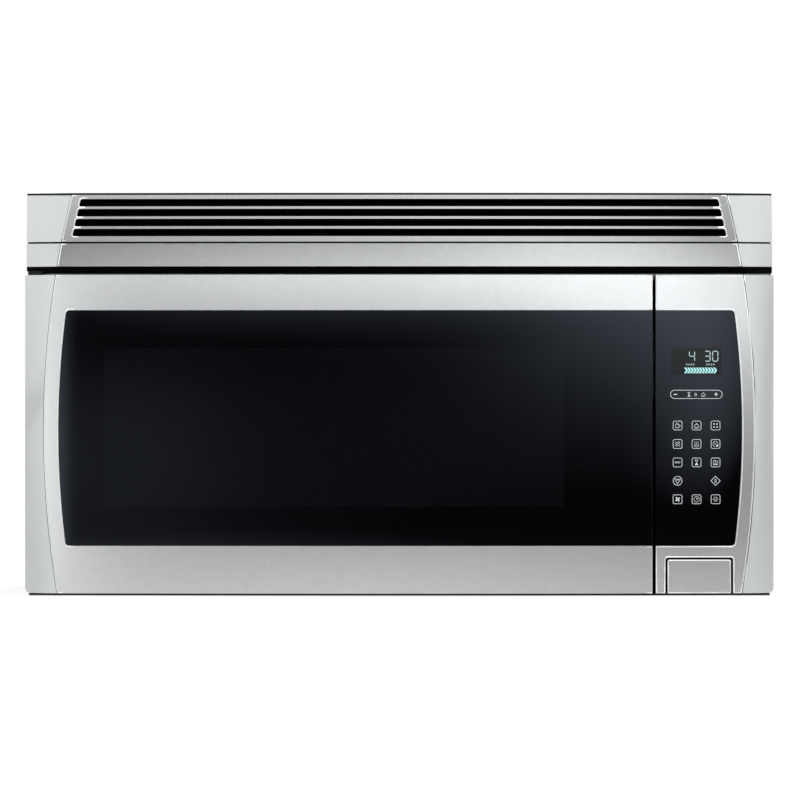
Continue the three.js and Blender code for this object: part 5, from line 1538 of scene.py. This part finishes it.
def screws(name, places, axis, material, flatness=1.0):
    """Screw heads at places in metres, standing along an axis (a unit vector)."""
    points, faces = turned(SCREW[:, :2] * [1, flatness] * MM, SCREW_SIDES, SCREW[:, 2])
    up = np.array(axis, float)
    side = np.roll(up, 1)
    frame_of = np.stack([side, np.cross(up, side), up])
    heads = [(points @ frame_of + place, faces) for place in places]
    return add_mesh(name, *joined(heads), "root", "zinc_steel", material, smooth=False)


case_high = both_corners(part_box("outer_case"))[1]
REAR_ROW = case_high[1] - 10 * MM
for side, name in ((-1, "left"), (1, "right")):
    places = [(side * case_high[0], REAR_ROW, z) for z in SIDE_HEIGHTS]
    places += [(side * case_high[0], y, FOOT_HEIGHT) for y in FOOT_DEPTHS]
    screws(f"case_screws_{name}", places, (side, 0, 0), FINISHES["black_steel"])
places = [(x, REAR_ROW, case_high[2]) for x in TOP_ACROSS]
places += [(x, FRONT_DEPTH, case_high[2]) for x in FRONT_ACROSS]
screws("case_screws_top", places, (0, 0, 1), FINISHES["black_steel"])
under_places = [(x, y, 0.0) for x in BORDER_ACROSS for y in BORDER_DEPTHS]
under_places += [(x, y, 0.0) for x in MIDDLE_ACROSS for y in MIDDLE_DEPTHS]
screws("base_screws", under_places, (0, 0, -1), FINISHES["zinc_steel"], LOW_HEAD)
print(len(places), "screws on the top,", len(under_places), "underneath")

# %% [markdown]
# ## The duct outlet
# The duct to the roof is screwed to a thin frame round the outlet. It is cut from sheet as
# before and then laid flat: the pattern's height becomes depth and its face looks up.

# %% Outlet frame
OUTLET_X, OUTLET_Y = 0.125, (0.020, 0.102)
FRAME_WIDE, FRAME_SHEET, FRAME_ROUND = 11 * MM, 1.2 * MM, 0.3 * MM
FRAME_CORNER, OUTLET_CORNER = 3 * MM, 1 * MM
EAR_RADIUS, EAR_DEPTHS = 1.8 * MM, (0.030, 0.061, 0.092)


def laid(mesh, height, facing_up=True):
    """Turns a sheet that faces -Y about X, so that it faces up or down at a height."""
    points, faces = mesh
    x, y, z = points.T
    flat = np.stack([x, z, height - y] if facing_up else [x, -z, height + y], axis=1)
    return flat, faces


frame_half = OUTLET_X + FRAME_WIDE
frame_border = rectangle(-frame_half, frame_half, OUTLET_Y[0] - FRAME_WIDE, OUTLET_Y[1] + FRAME_WIDE,
                         FRAME_CORNER)
duct_opening = rectangle(-OUTLET_X, OUTLET_X, *OUTLET_Y, OUTLET_CORNER)
ears = [hole(side * (OUTLET_X + FRAME_WIDE / 2), y, EAR_RADIUS, steps=10)
        for side in (-1, 1) for y in EAR_DEPTHS]
frame_mesh = sheet_mesh([frame_border, duct_opening] + ears, flat_at(0.0), FRAME_SHEET, FLAT)
outlet_frame = add_mesh("outlet_frame", *laid(frame_mesh, case_high[2] + FRAME_SHEET), "root",
                        "zinc_steel", FINISHES["zinc_steel"], smooth=False)
bevel(outlet_frame, FRAME_ROUND)
print("outlet", 2 * OUTLET_X, "by", round(OUTLET_Y[1] - OUTLET_Y[0], 3))

# %% [markdown]
# ## The underside
# Two grease filters come down out of the base. Each is a folded frame round layers of expanded
# aluminium. A strand of such mesh is a zigzag, and every second one is shifted by half a
# turn, so the zigzags meet in diamonds. A wire ring at the front edge pulls the filter out.

# %% Grease filters
FILTER_RIM, STRAND_PITCH, STRAND_STEP = 9 * MM, 4.4 * MM, 4.6 * MM
STRAND_WIDE, STRAND_HIGH = 0.9 * MM, 0.5 * MM
FILTER_CORNER, FILTER_OPENING_CORNER, FILTER_ROUND, UNDER_RIM = 4 * MM, 3 * MM, 1.2 * MM, 1 * MM
LAYER_HEIGHTS, CORE_FROM, CORE_TO = (1.6 * MM, 3.0 * MM), 4.5 * MM, 5.0 * MM
PULL_RADIUS, PULL_SIDES = 7 * MM, 24


def expanded(x0, x1, y0, y1, z, shift):
    """Zigzag strands: y swings by half a pitch at each step, in turn up and down."""
    steps = int((x1 - x0) / STRAND_STEP) + 1
    rows = int((y1 - y0) / STRAND_PITCH)
    i, j = np.meshgrid(np.arange(steps), np.arange(rows), indexing="xy")
    x = x0 + i * (x1 - x0) / (steps - 1)
    swing = np.where((i + j + shift) % 2 == 0, 0.5, -0.5) * STRAND_PITCH
    y = np.clip(y0 + (j + 0.5) * STRAND_PITCH + swing, y0, y1)
    around = [np.stack([x, y + a * STRAND_WIDE / 2, z + b * STRAND_HIGH / 2 + 0 * x], axis=-1)
              for a, b in SQUARE]
    points = np.stack(around, axis=2).reshape(-1, 3)
    first = 4 * (j * steps + i)
    walls = []
    for k in range(4):
        beside = (k + 1) % 4
        corners = [first + k, first + beside, first + 4 + beside, first + 4 + k]
        walls.append(np.stack(corners, axis=-1)[:, :-1])
    ends = [first[:, :1, None] + [3, 2, 1, 0], first[:, -1:, None] + [0, 1, 2, 3]]
    return points, np.concatenate([f.reshape(-1, 4) for f in walls + ends]).tolist()


def grease_filter(side):
    """A frame round two layers of mesh, a sheet over them, and a wire to pull it all out."""
    node, body, metal = f"grease_filter_{side}", f"filter_{side}", FINISHES["aluminium"]
    (x0, y0, z0), (x1, y1, z1) = both_corners(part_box(node))
    rim = FILTER_RIM
    border = [rectangle(x0, x1, -y1, -y0, FILTER_CORNER),
              rectangle(x0 + rim, x1 - rim, rim - y1, -y0 - rim, FILTER_OPENING_CORNER)]
    frame_sheet = sheet_mesh(border, flat_at(0.0), z1 - z0, FLAT)
    filter_frame = add_mesh(f"{side}_filter_frame", *laid(frame_sheet, z0, False), body, "aluminium",
                            metal, (node,))
    bevel(filter_frame, FILTER_ROUND, 3)
    left, right = x0 + rim - UNDER_RIM, x1 - rim + UNDER_RIM
    near, far = y0 + rim - UNDER_RIM, y1 - rim + UNDER_RIM
    layers = [expanded(left, right, near, far, z0 + height, k) for k, height in enumerate(LAYER_HEIGHTS)]
    core = block((left, near, z0 + CORE_FROM), (right, far, z0 + CORE_TO))
    filter_mesh = add_mesh(f"{side}_filter_mesh", *joined(layers + [core]), body, "aluminium", metal,
                           smooth=False)
    outwards(filter_mesh.data)
    pull = hole((x0 + x1) / 2, -y0 - rim / 2 - PULL_RADIUS, PULL_RADIUS, steps=PULL_SIDES)
    wire = add_mesh(f"{side}_filter_pull", *laid(hem_mesh(pull, flat_at(0.0)), z0 - HEM_SINK, False),
                    body, "spring_steel", FINISHES["spring_steel"])
    outwards(wire.data)


for side in ("left", "right"):
    grease_filter(side)

# %% [markdown]
# ### Lamp lens
# Frosted lenses over a cooktop are ribbed to spread the light. The lens is one section, flat
# above and rippled below by a cosine of its depth, drawn out over its width.

# %% Lamp lens
RIB_PITCH, RIB_HIGH, LENS_LINES = 5 * MM, 0.35 * MM, 129
(lens_x0, lens_y0, lens_z0), (lens_x1, lens_y1, lens_z1) = both_corners(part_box("lamp_cover"))


def ribbed_slab():
    """A section in y, rippled below and flat above, drawn out in x between two ends."""
    y = np.linspace(lens_y0, lens_y1, LENS_LINES)
    ripple = lens_z0 + RIB_HIGH * (1 - np.cos(2 * math.pi * (y - lens_y0) / RIB_PITCH)) / 2
    section = np.vstack([np.stack([y, ripple], axis=1), np.stack([y[::-1], 0 * y + lens_z1], axis=1)])
    return drawn_out(section, lens_x0, lens_x1)


lens = add_mesh("lamp_lens", *ribbed_slab(), "root", "lamp_glass", FINISHES["lamp_glass"], ("lamp_cover",))
outwards(lens.data)
lens.modifiers.new("smooth", "NODES").node_group = SMOOTHING
print("lens of", int((lens_y1 - lens_y0) / RIB_PITCH), "ribs")

# %% [markdown]
# ## The vent blower
# Through the outlet the two blower wheels show. A squirrel-cage wheel is two rings and a
# middle plate, joined by many thin blades, each a short arc that leans forward as it turns.

# %% Blower wheels
BLADES, BLADE_SHEET, BLADE_LEAN, LEAN_POWER = 36, 0.7 * MM, math.radians(9), 1.6
CAGE_OUT, CAGE_IN, RING_SHEET, RING_WIDE = 38 * MM, 30 * MM, 1.6 * MM, 5 * MM
HUB_OUT, HUB_BORE, HUB_HALF, WASHER_SIDES = 9 * MM, 4.3 * MM, 8 * MM, 48
PLATE_SHORT, BLADE_SHORT = 0.2 * MM, 0.3 * MM  # how far inside the rings these end


def washer(outer, inner, low, high):
    """A flat ring round X, between two places along it."""
    profile = np.array([(inner, low), (outer, low), (outer, high), (inner, high)])
    points, faces = turned(profile, WASHER_SIDES, closed=True)
    return np.roll(points, 1, axis=1), faces


def blade(index):
    """A blade's section: an arc from the inner to the outer ring, given a thickness."""
    share = np.linspace(0, 1, 6)
    angle = 2 * math.pi * index / BLADES + BLADE_LEAN * share**LEAN_POWER
    radius = CAGE_IN + (CAGE_OUT - BLADE_SHORT - CAGE_IN) * share
    front = np.stack([radius * np.cos(angle), radius * np.sin(angle)], axis=1)
    across = np.stack([-np.sin(angle), np.cos(angle)], axis=1) * BLADE_SHEET
    return np.vstack([front, (front + across)[::-1]])


def blower_wheel(node):
    """Two rings, a plate with a hub half way between them, and the blades."""
    (x0, y0, z0), (x1, y1, z1) = both_corners(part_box(node))
    middle = np.array([0, (y0 + y1) / 2, (z0 + z1) / 2])
    solids = [washer(CAGE_OUT, CAGE_OUT - RING_WIDE, x, x + RING_SHEET) for x in (x0, x1 - RING_SHEET)]
    plate_at = (x0 + x1) / 2
    solids += [washer(CAGE_OUT - PLATE_SHORT, HUB_BORE, plate_at, plate_at + RING_SHEET)]
    solids += [washer(HUB_OUT, HUB_BORE, plate_at - HUB_HALF, plate_at + HUB_HALF)]
    solids += [drawn_out(blade(i), x0 + RING_SHEET / 2, x1 - RING_SHEET / 2) for i in range(BLADES)]
    points, faces = joined(solids)
    wheel = add_mesh(f"{node}_cage", points + middle, faces, "blower", "zinc_steel",
                     FINISHES["zinc_steel"], (node,), smooth=False)
    outwards(wheel.data)


for node in ("blower_wheel_left", "blower_wheel_right"):
    blower_wheel(node)
print(BLADES, "blades a wheel")

# %% [markdown]
# ## Inside the oven
# The glass tray is a shallow dish, so it is a profile carried round its axis. Two low rings
# are pressed in its floor. Its rim is fire-polished, which is why every corner is rounded.

# %% Glass tray
tray_low, tray_high = both_corners(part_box("glass_tray"))
TRAY_RADIUS = (tray_high[0] - tray_low[0]) / 2
TRAY_MIDDLE = np.array([(tray_low[0] + tray_high[0]) / 2, tray_low[1] + TRAY_RADIUS, tray_low[2]])
TRAY_SIDES, TRAY_THICK = 96, 5.0
RING_RISE, RING_REACH, RING_RADII, RING_STEPS = 0.7, 1.2, (118, 74), (3, 1.5, 0.8, 0, -0.8, -1.5, -3)
NEAR_AXIS = TRAY_RADIUS / MM - 2


def ring_height(offset):
    """The floor's height near a pressed ring: a bell curve over its thickness."""
    return TRAY_THICK + RING_RISE * math.exp(-((offset / RING_REACH) ** 2))


pressed = [(TRAY_RADIUS / MM - radius - step, ring_height(step)) for radius in RING_RADII
           for step in RING_STEPS]
TRAY_PROFILE = (  # distance from the rim and height, in millimetres, round the section
    [(NEAR_AXIS, 0), (16, 0), (13.2, 0.3), (8, 2.2), (4, 4.2), (1.4, 7.6), (0.1, 12.0), (0, 12.6),
     (0.5, 13.0), (2.2, 13.0), (3.2, 12.4), (4.6, 9.4), (7, 7.6), (11, 6.0), (15, 5.2), (18, TRAY_THICK)]
    + pressed + [(NEAR_AXIS, TRAY_THICK)]
)
tray_rings = np.array(TRAY_PROFILE) * MM
tray_rings[:, 0] = TRAY_RADIUS - tray_rings[:, 0]
tray_points, tray_faces = turned(tray_rings, TRAY_SIDES)
tray_dish = add_mesh("tray_dish", tray_points + TRAY_MIDDLE, tray_faces, "turntable", "tray_glass",
                     FINISHES["tray_glass"], ("glass_tray",))
outwards(tray_dish.data)
print("tray", round(2 * TRAY_RADIUS / MM), "mm across")

# %% [markdown]
# ### Perforated sheet
# The screen in the door and the vents in the oven's walls are sheet steel with thousands of
# two-millimetre holes. At that size they are a pattern in the finish, not geometry: where the
# product of two cosines is high there is a hole, which makes rows that stand in quincunx.

# %% Perforations
HOLE_PITCH, HOLE_LEVEL, HOLE_BLACK = 4.4 * MM, 0.35, (0.004, 0.004, 0.004)
SCREEN_PITCH, SCREEN_LEVEL = 2.6 * MM, 0.2
LEFT_WALL, RIGHT_WALL, WALL_REACH = -0.3465, 0.2165, 3 * MM
VENTS = [  # the wall's x, and how far the patch goes in y and in z
    (LEFT_WALL, (-0.110, -0.020), (0.236, 0.286)),
    (RIGHT_WALL, (0.094, 0.128), (0.254, 0.288)),
    (RIGHT_WALL, (-0.120, -0.060), (0.236, 0.286)),
]


def rows_of_holes(tree, across, up, pitch, level):
    """1 inside a hole: where cos(2 pi u / pitch) times cos(2 pi v / pitch) passes a level."""
    waves = []
    for socket in (across, up):
        waves.append(math_node(tree, "COSINE", math_node(tree, "MULTIPLY", socket, 2 * math.pi / pitch)))
    return math_node(tree, "GREATER_THAN", math_node(tree, "MULTIPLY", *waves), level)


def pierced(name, colour, roughness, mask_of, **sockets):
    """A coated sheet whose colour goes black in the holes that mask_of(tree, axes) gives."""
    material = coated(name, colour, roughness, 900, 0.03, 0.05, **sockets)
    tree = material.node_tree
    base = tree.nodes["Principled BSDF"].inputs["Base Color"]
    sheet = base.links[0].from_socket
    tree.links.new(mixed(tree, mask_of(tree, object_axes(tree)), sheet, HOLE_BLACK), base)
    return material


def vent_mask(tree, axes):
    """Holes in the patches of the two side walls alone."""
    pattern = rows_of_holes(tree, axes["Y"], axes["Z"], HOLE_PITCH, HOLE_LEVEL)
    patches = 0.0
    for wall, depth, height in VENTS:
        patch = between(tree, axes["X"], (wall - WALL_REACH, wall + WALL_REACH))
        patch = math_node(tree, "MULTIPLY", patch, between(tree, axes["Y"], depth))
        patch = math_node(tree, "MULTIPLY", patch, between(tree, axes["Z"], height))
        patches = math_node(tree, "MAXIMUM", patch, patches)
    return math_node(tree, "MULTIPLY", pattern, patches)


def screen_mask(tree, axes):
    """Holes over the see-through window of the door."""
    pattern = rows_of_holes(tree, axes["X"], axes["Z"], SCREEN_PITCH, SCREEN_LEVEL)
    return math_node(tree, "MULTIPLY", pattern, in_see_window(tree, axes))


nodes["oven_cavity"].data.materials[0] = pierced("oven_enamel", (0.58, 0.58, 0.56), 0.32, vent_mask)
nodes["door_inner_panel"].data.materials[0] = pierced(
    "door_screen", (0.10, 0.10, 0.105), 0.4, screen_mask, Metallic=0.4)
print(len(VENTS), "vents in the oven")

# %% [markdown]
# ### The back of the door
# The choke cover is moulded with two raised beads, one round the screen and one by its
# border. Each is the same bead that edges the steel, carried round a rectangle.

# %% Beads on the choke cover
choke_low, choke_high = both_corners(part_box("choke_cover"))
BORDER_INSET, BORDER_CORNER = 9 * MM, 14 * MM
SCREEN_OUTSET, SCREEN_CORNER = 7 * MM, 10 * MM
CHOKE_SINK = 0.3 * MM
choke_beads = {
    "choke_bead_border": rectangle(choke_low[0] + BORDER_INSET, choke_high[0] - BORDER_INSET,
                                   choke_low[2] + BORDER_INSET, choke_high[2] - BORDER_INSET,
                                   BORDER_CORNER),
    "choke_bead_screen": rectangle(SEE_ACROSS[0] - SCREEN_OUTSET, SEE_ACROSS[1] + SCREEN_OUTSET,
                                   SEE_UP[0] - SCREEN_OUTSET, SEE_UP[1] + SCREEN_OUTSET, SCREEN_CORNER),
}
for name, outline in choke_beads.items():
    choke_depth = flat_at(choke_high[1] - HEM_SINK - CHOKE_SINK)
    add_hem(name, outline, choke_depth, "door", FINISHES["black_plastic"], "black_plastic")
print("beads:", list(choke_beads))

# %% [markdown]
# ### Springs
# Two springs are squeezed when the release button is pushed in: one behind the button and one
# over the latch bar. Wire follows a helix, and its round section is carried along by the
# radius and the tangent. The share of its length that each spring keeps when its joint moves is worked out.

# %% Springs
WIRE, WIRE_SIDES, TURN_STEPS = 0.9 * MM, 10, 20
BUTTON_TURNS, LATCH_TURNS = 3, 4
SPRING_SLACK = 0.01  # a squeezed spring is this share shorter than the room that is left


def spring_mesh(axis, middle, low, high, radius, wire, turns):
    """A helix about Y (1) or Z (2): the angle and the height grow together, and wire round it."""
    share = np.linspace(0, 1, turns * TURN_STEPS + 1)[:, None]
    angle = 2 * math.pi * turns * share
    outward = np.hstack([np.cos(angle), np.sin(angle), 0 * angle])
    climb = low + wire / 2 + (high - low - wire) * share
    spine = radius * outward + np.hstack([0 * angle, 0 * angle, climb])
    along = np.gradient(spine, axis=0)
    along /= np.linalg.norm(along, axis=1, keepdims=True)
    across = np.cross(along, outward)
    turn = np.linspace(0, 2 * math.pi, WIRE_SIDES, endpoint=False)[None, :, None]
    around = outward[:, None] * np.cos(turn) + across[:, None] * np.sin(turn)
    points = (spine[:, None] + around * wire / 2).reshape(-1, 3)
    if axis == 1:
        points = points[:, [0, 2, 1]]
    last = len(points) - WIRE_SIDES
    caps = [list(range(WIRE_SIDES))[::-1], list(range(last, len(points)))]
    return points + middle, walls_between(len(share), WIRE_SIDES) + caps


def spring(node, body, axis, turns, travel):
    """A spring in its node's box; gives back the share of its length left when its joint's travel squeezes it
    towards its far end.
    """
    low, high = both_corners(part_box(node))
    middle = (low + high) / 2
    middle[axis] = 0
    radius = (high[0] - low[0] - WIRE) / 2
    mesh = spring_mesh(axis, middle, low[axis], high[axis], radius, WIRE, turns)
    piece = add_mesh(f"{node}_wire", *mesh, body, "spring_steel", FINISHES["spring_steel"], (node,))
    outwards(piece.data)
    keep = 1 - travel / (high[axis] - low[axis]) - SPRING_SLACK
    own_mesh(piece)
    return keep


reach = {joint["name"]: joint["range_m"][1] for joint in frame["joints"] if "range_m" in joint}
left_over = [
    spring("button_spring", "root", 1, BUTTON_TURNS, reach["button_press"]),
    spring("latch_spring", "door", 2, LATCH_TURNS, reach["latch_lift"]),
]
print("springs keep", [round(share, 2) for share in left_over], "of their length")
